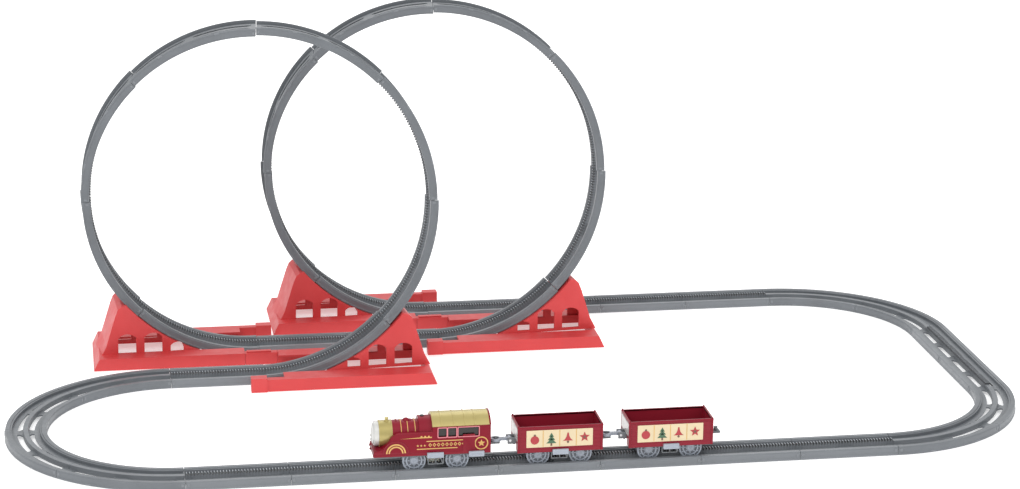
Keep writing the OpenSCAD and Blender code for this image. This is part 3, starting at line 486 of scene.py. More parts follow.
def brushed(name, c, rough=0.28, along=(1, 30, 30), metal=1.0):
    """Metal with fine lines along one direction and faint clouds of tarnish."""
    n = Nodes(name)
    lines = n.noise(260, 2, 0.5, along)
    tarnish = n.noise(45, 4, 0.6)
    tone = n.mix(n.spread(tarnish, 0.35, 0.7), shade(c, 1.06), shade(c, 0.82))
    n.cover(n.mix(n.spread(lines, 0.3, 0.7, 0, 0.5), tone, shade(c, 1.15)),
            n.spread(lines, 0.3, 0.7, rough - 0.05, rough + 0.12), {"Metallic": metal})
    n.relief(0.06, 0.0002, lines)
    return n.material


def printed(name, c):
    """Printed card under clear film: even colour, a halftone of fine dots and faint paper fibre."""
    n = Nodes(name)
    dots = n.node("ShaderNodeTexVoronoi", {"Vector": n.place, "Scale": 2400.0}).outputs["Distance"]
    tone = n.mix(n.spread(dots, 0.2, 0.6, 0, 0.5), shade(c, 0.93), shade(c, 1.05))
    tone = n.mix(n.spread(n.noise(60, 5, 0.6), 0.35, 0.7, 0, 0.35), tone, shade(c, 0.86))
    n.cover(tone, n.spread(n.noise(300, 3, 0.5), 0.3, 0.7, 0.30, 0.42), {"Coat Weight": 0.4})
    n.relief(0.05, 0.0001, n.noise(1800, 3, 0.6))
    return n.material


def window_film(name):
    """Dark glazing: nearly black, glossy, with a faint smear of haze."""
    n = Nodes(name)
    haze = n.noise(120, 4, 0.6, (1, 1, 4))
    n.cover(n.mix(n.spread(haze, 0.3, 0.8), (0.012, 0.009, 0.008, 1), (0.03, 0.022, 0.02, 1)),
            n.spread(haze, 0.3, 0.7, 0.10, 0.26))
    return n.material


def battery_wrap(name):
    """Cell sleeve: a dark green band and a coppery band with a crisp join."""
    n = Nodes(name)
    x = n.node("ShaderNodeSeparateXYZ", {"Vector": n.place}).outputs["X"]
    low, high = corners("battery")
    join = (low[0] + 0.3 * (high[0] - low[0])) * MM
    part = n.spread(x, join, join + 0.0003)
    green = n.mix(n.noise(200, 3, 0.5), (0.02, 0.12, 0.05, 1), (0.03, 0.16, 0.07, 1))
    copper = n.mix(n.noise(240, 3, 0.5), (0.50, 0.22, 0.08, 1), (0.60, 0.30, 0.12, 1))
    n.cover(n.mix(part, copper, green), n.spread(n.noise(150, 3, 0.5), 0.3, 0.7, 0.22, 0.36),
            {"Coat Weight": 0.6})
    n.relief(0.04, 0.0002, n.noise(700, 3, 0.5))
    return n.material


def make_finishes():
    """Every finish by the name of its slot, made once."""
    f = bpy.context.scene.train_finishes
    return {
        "track_grey": moulded("track grey", f.track, 0.40, 0.10, 0.16, wear=0.45, fine=900),
        # Rack tones from the track grey: a darker painted shade for the hollows between teeth and a lighter
        # painted highlight for the crowns.
        "rack_painted_shade": moulded("rack hollow", shade(f.track, 0.30), 0.5, 0.12, 0.16, fine=900),
        "rack_painted_highlight": moulded("rack tip", shade(f.track, 2.1), 0.36, 0.10, 0.10, fine=900),
        "black_plastic": moulded("black plastic", (0.014, 0.014, 0.016), 0.40, 0.25, 0.10),
        "coral_plastic": moulded("coral plastic", f.coral, 0.42, 0.06, 0.05, wear=0.20, see_through=0.10,
                                  shine=0.3),
        "crimson_gloss": moulded("crimson gloss", f.crimson, 0.34, 0.08, 0.04, wear=0.22, coat=0.08,
                                  shine=0.18),
        "rose_paint": moulded("rose paint", f.rose, 0.38, 0.08, 0.06),
        "gold_lacquer": moulded("gold lacquer", f.gold, 0.36, 0.10, 0.06, streak=(0.4, 3, 3), wear=0.45,
                                metal=0.55, coat=0.25),
        "trim_gold": moulded("trim gold", f.trim, 0.42, 0.12, 0.08, metal=0.3),
        "window_dark": window_film("window dark"),
        "silver_white": moulded("silver white", f.front, 0.34, 0.05, 0.05, metal=0.25, coat=0.2),
        "chassis_grey": moulded("chassis grey", f.chassis, 0.46, 0.12, 0.14, wear=0.5),
        "battery_wrap": battery_wrap("battery wrap"),
        "steel": brushed("steel", (0.56, 0.56, 0.58)),
        "brass": brushed("brass", (0.72, 0.50, 0.20), 0.30, (30, 1, 30)),
        "gear_nylon": moulded("gear nylon", (0.78, 0.74, 0.62), 0.44, 0.05, 0.05, see_through=0.2),
        "wheel_grey": moulded("wheel grey", f.wheel, 0.36, 0.08, 0.06, wear=0.55, coat=0.15),
        # Painted shade for the wheels' sunk rings: the wheel grey darkened.
        "wheel_groove_painted_shade": moulded("wheel groove", shade(f.wheel, 0.42), 0.46, 0.10, 0.06, wear=0.2),
        "printed_cream": printed("printed cream", f.cream),
        "print_red": printed("print red", (0.38, 0.012, 0.02)),
        "print_green": printed("print green", (0.035, 0.11, 0.05)),
        "print_brown": printed("print brown", (0.12, 0.055, 0.03)),
    }


FINISH = {}


def finish(*names):
    """The materials for a piece, by slot name."""
    if not FINISH:
        FINISH.update(make_finishes())
    return [FINISH[name] for name in names]


def dress(nodes, name):
    """Gives CAD nodes whose shape is right a finish."""
    for node in nodes:
        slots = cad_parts[node].data.materials
        slots.clear()
        slots.append(finish(name)[0])


# ---------------------------------------------------------------- track
def rail_section(t):
    """One side rail in section, as (across, up) points: floor strip, inner lip, rounded head, skirt with
    a thicker foot, and the hollow under it."""
    half, inner = t.width / 2, t.width / 2 - t.rail_w
    flat = inner - t.floor_w
    low = t.floor_h - t.floor_t
    outline = [[flat, low], [inner + t.wall, low], [inner + t.wall, t.rail_h - t.wall],
               [half - t.wall, t.rail_h - t.wall], [half - t.wall, 0], [half, 0], [half, 1.5],
               [half - 0.35, 1.9], [half - 0.35, t.rail_h - 1.6], [half - 0.75, t.rail_h - 1.0],
               [half - 0.75, t.rail_h], [inner + 1.7, t.rail_h], [inner + 1.5, t.rail_h - 0.8],
               [inner, t.rail_h - 0.9], [inner, t.floor_h], [flat, t.floor_h]]
    radii = [0, 0, 0.3, 0.3, 0, 0.25, 0.15, 0.15, 0.2, 0.2, 0.4, 0.35, 0.15, 0.3, 0.25, 0]
    return rounded(outline, radii, 2)


def carried(section, stations):
    """A section of (across, up) points repeated at each station: a grid of (along, across, up)."""
    s = np.asarray(stations, float)[:, None] + 0 * section[None, :, 0]
    u, v = section[None, :, 0] + 0 * s, section[None, :, 1] + 0 * s
    return np.stack([s, u, v], -1)


def rail(t, stations):
    """Both side rails of a section, still flat and straight."""
    part = Part()
    section = rail_section(t)
    for side in (1, -1):
        grid = carried(section * [side, 1], stations)
        n, m = grid.shape[:2]
        part.add(grid.reshape(-1, 3), lattice(n, m, wrap_v=True).tolist() + ends(n, m))
    return part


def pierced(grid, keep, thick):
    """Plate with openings: a grid of top points, the cells to keep, and a thickness downwards. Where a
    kept cell meets an open one or the border, a wall joins top and bottom."""
    n, m = grid.shape[:2]
    top = np.arange(n * m).reshape(n, m)
    a, b, c, d = top[:-1, :-1], top[1:, :-1], top[1:, 1:], top[:-1, 1:]
    faces = [np.stack([a, b, c, d], -1)[keep], np.stack([d, c, b, a], -1)[keep] + n * m]
    wide = np.pad(keep, 1)
    for axis in (0, 1):
        cut = np.diff(wide.astype(int), axis=axis)
        cut = cut[:, 1:-1] if axis == 0 else cut[1:-1, :]
        i, j = np.nonzero(cut)
        e, f = (top[i, j], top[i, j + 1]) if axis == 0 else (top[i, j], top[i + 1, j])
        faces.append(np.stack([e, f, f + n * m, e + n * m], -1))
    faces = np.concatenate(faces)
    used, faces = np.unique(faces, return_inverse=True)
    points = np.concatenate([grid.reshape(-1, 3), grid.reshape(-1, 3) - [0, 0, thick]])
    return Part().add(points[used], faces.reshape(-1, 4))


def deck(t, length_, fine):
    """Floor between the rails: two runs of slots, with cross ties at the ends and the middle that
    flare towards the rack. Grid lines beside a tie lean by the flare, which fades away from the rack."""
    lap, end, mid, flare = 0.4, 5.0, 4.5, 4.2
    half = t.rack_w / 2
    edge = t.width / 2 - t.rail_w - t.floor_w
    slots = [[end, length_ / 2 - mid], [length_ / 2 + mid, length_ - end]]
    s, lean = [0.0, end * 0.5], [0, 0]
    for lo, hi in slots:
        steps = max(2, int(round((hi - lo - 2 * flare - 2) / fine)) + 1)
        inner = np.linspace(lo + flare + 1, hi - flare - 1, steps)
        s += [lo, *inner, hi]
        lean += [1, *([0] * steps), -1]
    s += [length_ - end * 0.5, length_]
    lean += [0, 0]
    u = np.array([-edge - lap, -edge, -half - 3.5, -half - 2.2, -half - 1, -half - 0.3, 0])
    u = np.concatenate([u, -u[-2::-1]])
    fade = np.clip(1 - (np.abs(u) - half - 0.3) / 3.2, 0, 1) ** 1.5
    along = np.array(s)[:, None] + flare * np.array(lean)[:, None] * fade[None, :]
    grid = np.stack([along, u[None, :] + 0 * along, t.floor_h - 0.02 + 0 * along], -1)
    mid_s = (np.array(s)[1:] + np.array(s)[:-1]) / 2
    mid_u = np.abs((u[1:] + u[:-1]) / 2)
    slot_s = np.any([(mid_s > lo) & (mid_s < hi) for lo, hi in slots], axis=0)
    keep = ~(slot_s[:, None] & ((mid_u > half + 0.3) & (mid_u < edge))[None, :])
    return pierced(grid, keep, t.floor_t)


def rack(t, length_, teeth, fine):
    """Toothed strip: a bar whose top rises and falls with the teeth, its upper edges bevelled. A tooth
    takes six stations: foot, flank, crown, crown, flank, foot. With no teeth the top is plain."""
    half, low = t.rack_w / 2, t.floor_h - 0.5
    if teeth:
        pitch = length_ / teeth
        local = np.array([0.0, 0.17, 0.33, 0.38, 0.62, 0.67, 0.83]) * pitch
        rise = np.array([0.0, 0.0, 0.75, 1.0, 1.0, 0.75, 0.0])
        s = (np.arange(teeth)[:, None] * pitch + local).ravel()
        up = np.tile(rise, teeth)
        s, up = np.append(s, length_), np.append(up, 0.0)
    else:
        s = np.linspace(0, length_, int(round(length_ / fine)) + 1)
        up = np.zeros(len(s))
    top = t.rail_h - 0.25 + (2 * t.rack_up + 0.35) * up
    bevel = 0.3
    u = np.array([-half, -half, -half + bevel, half - bevel, half, half])
    z = np.stack([low + 0 * s, top - bevel, top, top, top - bevel, low + 0 * s], 1)
    grid = np.stack([s[:, None] + 0 * z, u[None, :] + 0 * z, z], -1)
    n, m = z.shape
    part = Part().add(grid.reshape(-1, 3), lattice(n, m, wrap_v=True).tolist() + ends(n, m))
    if teeth:
        # Painted light on the rack: its top and bevels take the painted shade of the hollows between teeth,
        # and the flat top of each crown takes a painted highlight.
        tone = np.zeros((n - 1, m), int)
        tone[:, 1:4] = 1
        tone[3::7, 2] = 2
        part.marks = tone.ravel().tolist() + [0, 0]
    return part


def ribs(t, length_):
    """What stands out on a section's skirts: two shallow feet and the tongues at both ends."""
    part = Part()
    half = t.width / 2
    for side in (1, -1):
        for s in (0.28, 0.72):
            s = s * length_
            part.merge(block((s - 2.5, s + 2.5), across(side, half - 0.6, half + 0.05), (0, 1.7), 0.2, 1))
        for s in (1.2, length_ - 3.4):
            part.merge(block((s, s + 2.2), across(side, half - 0.8, half + 0.1), (3.2, 6.4), 0.25, 1))
    return part


def section(t, length_, teeth, fine):
    """A whole flat section from 0 to its length, as (along, across, up) points."""
    stations = np.linspace(0, length_, max(2, int(round(length_ / fine)) + 1))
    part = rail(t, stations)
    part.merge(deck(t, length_, fine))
    part.merge(rack(t, length_, teeth, fine))
    part.merge(ribs(t, length_))
    return part


def carry(part, rule):
    """The part with every (along, across, up) point carried to its place by a rule."""
    moved = Part()
    moved.add(rule(np.concatenate(part.points)), part.faces)
    moved.marks = list(part.marks)
    return moved


def straight_rule(start, heading):
    """Along a heading in degrees from a start point; across is to the left."""
    a = math.radians(heading)
    d, n = np.array([math.cos(a), math.sin(a), 0]), np.array([-math.sin(a), math.cos(a), 0])
    return lambda p: np.array([*start, 0]) + p[:, :1] * d + p[:, 1:2] * n + p[:, 2:] * [0, 0, 1]


def curve_rule(middle, radius, start):
    """Anticlockwise round a middle point from a start angle in degrees."""
    def place(p):
        a = math.radians(start) + p[:, 0] / radius
        r = radius - p[:, 1]
        return np.stack([middle[0] + r * np.cos(a), middle[1] + r * np.sin(a), p[:, 2]], 1)
    return place


def loop_rule(t, foot, k, tilt, cut):
    """Up and round a loop: section k of eight lies in a plane of its own, leaned by tilt about its
    middle radius, so that the eight step over to the next lane. At the first and last section the
    angle is stretched so that the end stands square at the joint."""
    arc = math.radians(45)

    def at(a, p):
        r = t.loop_r - p[:, 2]
        x, y, z = r * np.cos(a), r * np.sin(a), p[:, 1]
        y, z = y * math.cos(tilt) + z * math.sin(tilt), -y * math.sin(tilt) + z * math.cos(tilt)
        b = math.radians(-90 + 45 * (k + 0.5))
        x, y = x * math.cos(b) - y * math.sin(b), x * math.sin(b) + y * math.cos(b)
        return np.stack([foot[0] + x, foot[1] + t.section * (k + 0.5) / 8 - z, t.loop_r + y], 1)

    def place(p):
        span = arc * t.loop_r
        share = p[:, 0] / span
        a = -arc / 2 + share * arc
        if k == 0:
            a = a + (1 - share) * (foot[0] + cut - at(-arc / 2 + 0 * a, p)[:, 0]) / t.loop_r
        if k == 7:
            a = a + share * (foot[0] - cut - at(arc / 2 + 0 * a, p)[:, 0]) / t.loop_r
        return at(a, p)
    return place


def track_run(name, node, pieces):
    """One object for a run of sections."""
    part = Part()
    for p in pieces:
        part.merge(p)
    return part.object(name, "track", "track_grey", finish("track_grey", "rack_painted_shade", "rack_painted_highlight"), (node,),
                       smooth=35)


def build_track(t):
    """All flat and looped sections."""
    low, high = corners("front_straight")
    x0, y0 = low[0] - t.gap / 2, centre("front_straight")[1]
    x1 = high[0] + t.gap / 2
    free = t.section - t.gap
    flat = section(t, free, t.teeth, free)
    lanes = {n: (round((corners(n)[1][0] - corners(n)[0][0]) / t.section), corners(n)[0][0], centre(n)[1])
             for n in LANES}
    for node, (n, start, y) in lanes.items():
        runs = [carry(flat, straight_rule((start + k * t.section, y), 0)) for k in range(n)]
        track_run(node + "_track", node, runs)
    low, high = corners("right_straight")
    x = (low[0] + high[0]) / 2
    runs = [carry(flat, straight_rule((x, low[1] + k * t.section), 90)) for k in range(2)]
    track_run("right_straight_track", "right_straight", runs)
    arc = math.radians(45) * t.curve_r - t.gap
    half_gap = math.degrees(t.gap / 2 / t.curve_r)
    bend = section(t, arc, 0, 7.0)
    y_back = centre("back_straight")[1]
    for node, mid, start, n in (("left_curve", (x0, y0 + t.curve_r), 90, 4),
                                ("right_back_curve", (x1, y_back - t.curve_r), 0, 2),
                                ("right_front_curve", (x1, y0 + t.curve_r), -90, 2)):
        runs = [carry(bend, curve_rule(mid, t.curve_r, start + 45 * k + half_gap)) for k in range(n)]
        track_run(node + "_track", node, runs)
    tilt = math.asin(t.section / 16 / ((t.loop_r - t.floor_h) * math.sin(math.radians(22.5))))
    rise = section(t, math.radians(45) * t.loop_r, t.loop_teeth, 7.0)
    for node, lane, k in (("loop_1_track", "lane_a_straight", 1), ("loop_2_track", "lane_b_straight", 2)):
        foot = (corners(lane)[1][0] + t.gap / 2, centre(lane)[1])
        runs = [carry(rise, loop_rule(t, foot, j, tilt, t.gap / 2)) for j in range(8)]
        track_run(node + "_sections", node, runs)


# ---------------------------------------------------------------- train
def turned_by(angle):
    """Matrix that turns points about Y."""
    c, s = math.cos(angle), math.sin(angle)
    return np.array([[c, 0, s], [0, 1, 0], [-s, 0, c]])


def strip(x, z, depths, edge=0.1):
    """Flat rectangle with softened corners, raised between two depths."""
    corner = min(0.6, (x[1] - x[0]) / 3, (z[1] - z[0]) / 3)
    flat = [[x[0], z[0]], [x[1], z[0]], [x[1], z[1]], [x[0], z[1]]]
    return plate([rounded(flat, corner)], depths, edge)


def arc_band(x, z, radii, depths, n=40):
    """Half ring standing on its two feet, rectangular in section."""
    flat = [(depths[0], radii[0]), (depths[0], radii[1]), (depths[1], radii[1]), (depths[1], radii[0])]
    return hoop(flat, (x, 0, z), "y", n, 0, 180)


def wheel(s, x, z):
    """Wheel turned about its axle: tread, rim, two sunk rings and a domed hub, with short spokes set
    round each ring."""
    r, out = s.wheel_d / 2, s.wheel_out
    back = out - s.wheel_w
    profile = [(back, r - 0.5), (back + 0.3, r), (out - 0.4, r), (out, r - 0.3), (out, r - 1.5),
               (out - 0.7, r - 1.8), (out - 0.7, r - 3.1), (out - 0.1, r - 3.3), (out - 0.1, r - 4.6),
               (out - 0.8, r - 4.9), (out - 0.8, r - 6.7), (out - 0.2, r - 6.9), (out - 0.2, 3.3),
               (out + 0.3, 3.0), (out + 0.4, 1.4), (out + 0.1, 1.1)]
    around = 72
    part = turned(profile, (0, 0, 0), "y", around)
    # The faces of both sunk rings take the painted shade, darker than the wheel grey.
    for low, high in ((4, 7), (8, 11)):
        part.marks[low * around:high * around] = [1] * (around * (high - low))
    for count, radius, span in ((12, r - 2.45, 1.4), (8, r - 5.8, 1.9)):
        reach = (radius - span / 2, radius + span / 2)
        spoke = block(reach, (out - 1.0, out - 0.25), (-0.45, 0.45), 0.15, 1)
        for k in range(count):
            part.merge(spoke, turn=turned_by(2 * math.pi * k / count))
    part.both_sides()
    placed = Part()
    return placed.merge(part, move=(x, 0, z))


def wheelset(s, body, node):
    """One pair of wheels on its axle's body."""
    mid = centre(node)
    part = wheel(s, 0, 0)
    part.object(node + "_ringed", body, "wheel_grey", finish("wheel_grey", "wheel_groove_painted_shade"), (node,), 30, mid)


# Nose, front of the cab and tail, along the locomotive from its own middle.
NOSE_X, CAB_X, TAIL_X = -55, 0.5, 55


def shell_line(s):
    """Nose, fender slope, shoulder: the top line of the locomotive's shell as (x, z)."""
    x0, cab = NOSE_X, CAB_X
    return [[x0 + 1, s.skirt_z], [x0 + 1, 26.5], [x0 + 9, 28.5], [x0 + 14, 33.5], [x0 + 18, 40.5],
            [x0 + 22, 43.8], [cab, 43.8]]


def window_rows(grow):
    """Outlines of the three cab windows, grown all round."""
    loops, cab = [], CAB_X
    for x, w in ((5.6, 7.6), (14.6, 7.6), (24.2, 19.0)):
        a, b, c, d = cab + x - grow, cab + x + w + grow, 38.6 - grow, 47.1 + grow
        loops.append(rounded([[a, c], [b, c], [b, d], [a, d]], 0.9 + grow / 2))
    return loops


def loco_shell(s):
    """Sides cut from one outline with window openings, a band over the nose and shoulder, end walls,
    and the boiler and fairing as arched skins."""
    half, x0, x1, cab, w = s.loco_half, NOSE_X, TAIL_X, CAB_X, s.wall
    low, top_z, axis = s.skirt_z, s.cab_z, (0, 0, s.boiler_z)
    line = shell_line(s)
    outline = rounded(line + [[cab, top_z], [x1, top_z], [x1, low]],
                      [0.3, 0.8, 1.5, 2, 2, 1.2, 0.2, 0.2, 0.4, 0.4])
    side = plate([outline] + window_rows(0), (half - w, half), 0.3)
    shell = Part().merge(side).both_sides()
    top = rounded(line, [0.01, 0.8, 1.5, 2, 2, 1.2, 0.01])
    shell.merge(band(top, (-half + 0.4, half - 0.4), w))
    shell.merge(block((cab, cab + w), (-half + 0.4, half - 0.4), (43, top_z), 0.2, 1))
    for y in ((-half + 0.4, -4.6), (4.6, half - 0.4)):
        shell.merge(block((x1 - w, x1), y, (low, top_z), 0.2, 1))
    shell.merge(block((x1 - w, x1), (-5, 5), (30.2, top_z), 0.2, 1))
    r = s.boiler_r
    skin = [(-36.2, r - w), (-36.2, r), (cab, r), (cab, r - w)]
    shell.merge(hoop(skin, axis, "x", 48, 12, 156))
    out = s.hood_r
    hood = [(-11.3, r - 0.1), (-11.3, out - 0.4), (-10.9, out), (cab + 0.1, out), (cab + 0.1, out - w),
            (-9.8, out - w), (-9.8, r - 0.1)]
    shell.merge(hoop(hood, axis, "x", 48, 13, 154))
    dome = [(50.4, 3.4), (51.6, 3.4), (52.6, 2.7), (53.3, 1.5), (53.5, 0.4)]
    shell.merge(turned(dome, (-22, 0, 0), "z", 32))
    for x, reach in ((-31.5, 2.4), (-18.2, 2.0)):
        shell.merge(block((x - 0.8, x + 0.8), (-reach, reach), (51.2, 52.1), 0.3, 1))
    proud = Part()
    proud.merge(strip((x0 + 22, cab), (43.1, 44.2), (half - 0.2, half + 0.35)))
    proud.merge(strip((x0 + 1, x1), (low, 23.7), (half - 0.2, half + 0.3)))
    proud.merge(strip((29, 40.2), (22, 40.4), (half - 0.2, half + 0.4)))
    proud.merge(strip((x1 - 1.6, x1), (23.5, top_z), (half - 0.2, half + 0.3)))
    proud.merge(arc_band(-33.2, 24.6, (10.9, 12.0), (half - 0.2, half + 0.5)))
    proud.both_sides()
    shell.merge(proud)
    for z in (24.8, 29.3):
        shell.merge(turned([(-54.4, 1.1), (-55.6, 1.0), (-56, 0.5)], (0, 0, z), "x", 20))
    return shell


def loco_trim(half):
    """Printed gold on both sides: twin arches on the fender, a tapered line with three fittings, two
    ruled lines with stars and a chain of lozenges between them, and a ringed star."""
    lay = (half + 0.02, half + 0.16)
    part = Part()
    for radii in ((7.9, 9.2), (5.6, 6.9)):
        part.merge(arc_band(-33.2, 24.6, radii, (half - 0.1, half + 0.2)))
    part.merge(plate([[[-29.4, 38.4], [0.1, 38.3], [0.1, 39.4], [-12, 39.2]]], lay, 0.05))
    for x in (-9.6, -6.2, -2.8):
        part.merge(plate([[[x - 1.2, 39.3], [x + 1.2, 39.3], [x + 0.5, 40.6], [x - 0.5, 40.6]]], lay, 0.05))
    part.merge(strip((-5, 32), (34.6, 35.5), lay, 0.05))
    part.merge(strip((-14, 24), (27.3, 28.2), lay, 0.05))
    for x in (-13, -9.8, -6.6):
        part.merge(plate([star(1.3, x, 31.1)], lay, 0.05))
    for k in range(9):
        x = -1.5 + 3.9 * k
        outer = [[x - 1.7, 31.4], [x, 29.4], [x + 1.7, 31.4], [x, 33.4]]
        inner = [[x - 0.8, 31.4], [x, 30.5], [x + 0.8, 31.4], [x, 32.3]]
        part.merge(plate([outer, inner], lay, 0.05))
    ring = hoop([(half - 0.1, 5.2), (half - 0.1, 6.5), (half + 0.25, 6.3), (half + 0.25, 5.4)],
                (46.2, 0, 31), "y", 56)
    part.merge(ring)
    part.merge(plate([star(3.6, 46.2, 31)], lay, 0.05))
    return part.both_sides()


def roof_skin(s):
    """Arched roof with four raised ribs, turned about an axis low in the cab."""
    r, mid, cab, x1 = s.roof_r, s.roof_mid, CAB_X, TAIL_X
    low = math.degrees(math.asin((s.eaves_z - mid) / r))

    def arch(outline):
        return hoop(outline, (0, 0, mid), "x", 56, low, 180 - 2 * low)

    part = arch([(cab, r - 1.5), (cab, r - 0.2), (cab + 0.2, r), (x1 - 0.2, r), (x1, r - 0.2), (x1, r - 1.5)])
    for share in (0.16, 0.37, 0.56, 0.73):
        x = cab + share * (x1 - cab)
        part.merge(arch([(x - 0.6, r - 0.2), (x - 0.4, r + 0.4), (x + 0.4, r + 0.4), (x + 0.6, r - 0.2)]))
    return part


def roof_ends(s):
    """Two arched end walls, the rear one standing a little proud as a rim."""
    part = Part()
    for x, grow in (((0.6, 1.8), -0.4), ((53.6, 55.2), 0.35)):
        r = s.roof_r + grow
        low = math.degrees(math.asin((s.eaves_z - s.roof_mid) / r))
        part.merge(plate([ring_points(r, 40, 0, s.roof_mid, low, 180 - 2 * low)], x, 0.2, "x"))
    return part


def step(x, w, y, z, part):
    """Step board with three raised treads."""
    part.merge(block((x - w / 2 - 0.2, x + w / 2 + 0.2), (y, y + 2.6), (z - 1.9, z + 3.1), 0.35))
    for k in range(3):
        foot = z - 1.2 + 1.4 * k
        part.merge(block((x - w / 2 + 1, x + w / 2 - 1), (y + 2.2, y + 2.85), (foot, foot + 0.7), 0.2, 1))
    return part


def side_frame(x0, x1, y):
    """Open frame that fills the gap between two wheels: two rails, three uprights and a brace."""
    part = Part()
    for z in (11.6, 18.4):
        part.merge(block((x0, x1), (y, y + 1.2), (z, z + 1.1), 0.2, 1))
    for x in (x0, (x0 + x1) / 2 - 0.5, x1 - 1):
        part.merge(block((x, x + 1), (y, y + 1.2), (11.8, 22.4), 0.2, 1))
    brace = [[x1 - 4.2, 18.6], [x1 - 3, 18.6], [x1 - 0.2, 12.2], [x1 - 1.4, 12.2]]
    part.merge(plate([brace], (y, y + 1.2), 0.15))
    return part


def build_locomotive(s):
    """Every visible piece of the locomotive, about its own middle."""
    low, high = corners("loco_body")
    at = (high[0] - TAIL_X, (low[1] + high[1]) / 2, 0)
    axis, half, r = (0, 0, s.boiler_z), s.loco_half, s.boiler_r

    def place(part, name, slot, look=None, replaces=(), smooth=35, body="locomotive"):
        part.object(name, body, slot, finish(look or slot), replaces, smooth, at)

    place(loco_shell(s), "loco_shell", "crimson_gloss", replaces=("loco_body",))
    place(loco_trim(half), "loco_gold_trim", "gold_lacquer", "trim_gold", smooth=30)
    frames = Part()
    for outer, inner in zip(window_rows(0.9), window_rows(0)):
        frames.merge(plate([outer, inner], (half - 0.1, half + 0.5), 0.2))
    place(frames.both_sides(), "window_frames", "crimson_gloss", "rose_paint")
    bands = Part()
    for x in (-27.5, -21.5, -14.6):
        flat = [(x - 0.4, r - 0.1), (x - 0.3, r + 0.35), (x + 0.3, r + 0.35), (x + 0.4, r - 0.1)]
        bands.merge(hoop(flat, axis, "x", 48, 20, 140))
    place(bands, "boiler_bands", "gold_lacquer", "trim_gold")
    ring = hoop([(-48, 10.2), (-48, 11.8), (-47.6, 12.3), (-46.8, 12.3), (-46.5, 12.1), (-36.9, 12.1),
                 (-36.6, 12.4), (-35.8, 12.4), (-35.5, 12.1), (-35.5, 10.2)], axis, "x", 72)
    valve = [(50.8, 2.6), (52, 2.3), (52.6, 1.4), (53.4, 1.3), (53.7, 2.0), (54.6, 1.9), (54.9, 0.9)]
    ring.merge(turned(valve, (-40, 0, 0), "z", 28))
    place(ring, "gold_ring", "gold_lacquer", replaces=("smokebox_ring",))
    disc = turned([(-47.5, 11.3), (-51.9, 11.3), (-52.5, 10.8), (-52.6, 9.7), (-53.5, 9.2), (-54.0, 5.6),
                   (-54.2, 5.2), (-54.6, 4.6), (-54.7, 1.2)], axis, "x", 72)
    for z in (34.2, 38.1):
        disc.merge(turned([(-54, 1.1), (-55.4, 1.0), (-55.8, 0.5)], (0, 0, z), "x", 20))
    place(disc, "front_disc", "silver_white", replaces=("smokebox_front",))
    place(roof_skin(s), "roof_skin", "gold_lacquer", replaces=("loco_roof",), body="roof")
    place(roof_ends(s), "roof_ends", "crimson_gloss", body="roof")
    steps = Part()
    step(3.2, 15, half + 0.2, 21.2, steps)
    step(41.5, 14, half + 0.2, 20.8, steps)
    place(steps.both_sides(), "loco_steps", "wheel_grey")
    gear = side_frame(-3.6, 11.6, 13.6).both_sides()
    gear.merge(block((36.6, 49), (12, 14.2), (16.6, 20.4), 0.4).both_sides())
    place(gear, "loco_side_frames", "chassis_grey")


def build_knob():
    """Switch knob: turned, with grip ribs as a cosine ripple of its radius."""
    low, high = corners("switch_knob")
    mid = (low + high) / 2
    tall = high[2] - low[2]
    grip = [(-tall / 2, 1.4), (0.1 * tall, 1.4), (0.16 * tall, 1.9), (0.42 * tall, 1.9), (tall / 2, 1.3)]
    knob = turned(grip, mid, "z", 48, lambda p, a: 0.09 * np.cos(12 * a)[None, :] * (p[:, 1:] > 1.5))
    knob.object("ribbed_knob", "switch", "black_plastic", finish("black_plastic"), ("switch_knob",), 35)


def motifs(z):
    """Outlines of the four printed pictures about x = 0: bauble, tree, bell and star, as (colour number,
    outlines) pairs."""
    bauble = [(1, [ring_points(3.4, 32, 0, z - 1)]),
              (2, [[[-0.9, z + 2.3], [0.9, z + 2.3], [0.7, z + 3.6], [-0.7, z + 3.6]]])]
    tree = [(0, [[[k - 4, z - 4 + 2.6 * k], [4 - k, z - 4 + 2.6 * k], [0, z + 0.2 + 2.2 * k]]])
            for k in range(3)]
    tree += [(2, [[[-0.7, z - 6], [0.7, z - 6], [0.7, z - 4], [-0.7, z - 4]]])]
    curve = np.linspace(0, 1, 12)
    right = np.stack([0.5 + 1.2 * curve + 2.3 * curve ** 4, z + 4.2 - 6.6 * curve], 1)
    bell = [(1, [np.concatenate([right, (right * [-1, 1])[::-1]])]), (2, [ring_points(0.9, 16, 0, z - 3.4)])]
    return [bauble, tree, bell, [(1, [star(4.2, 0, z)]), (2, [star(1.7, 0, z)])]]


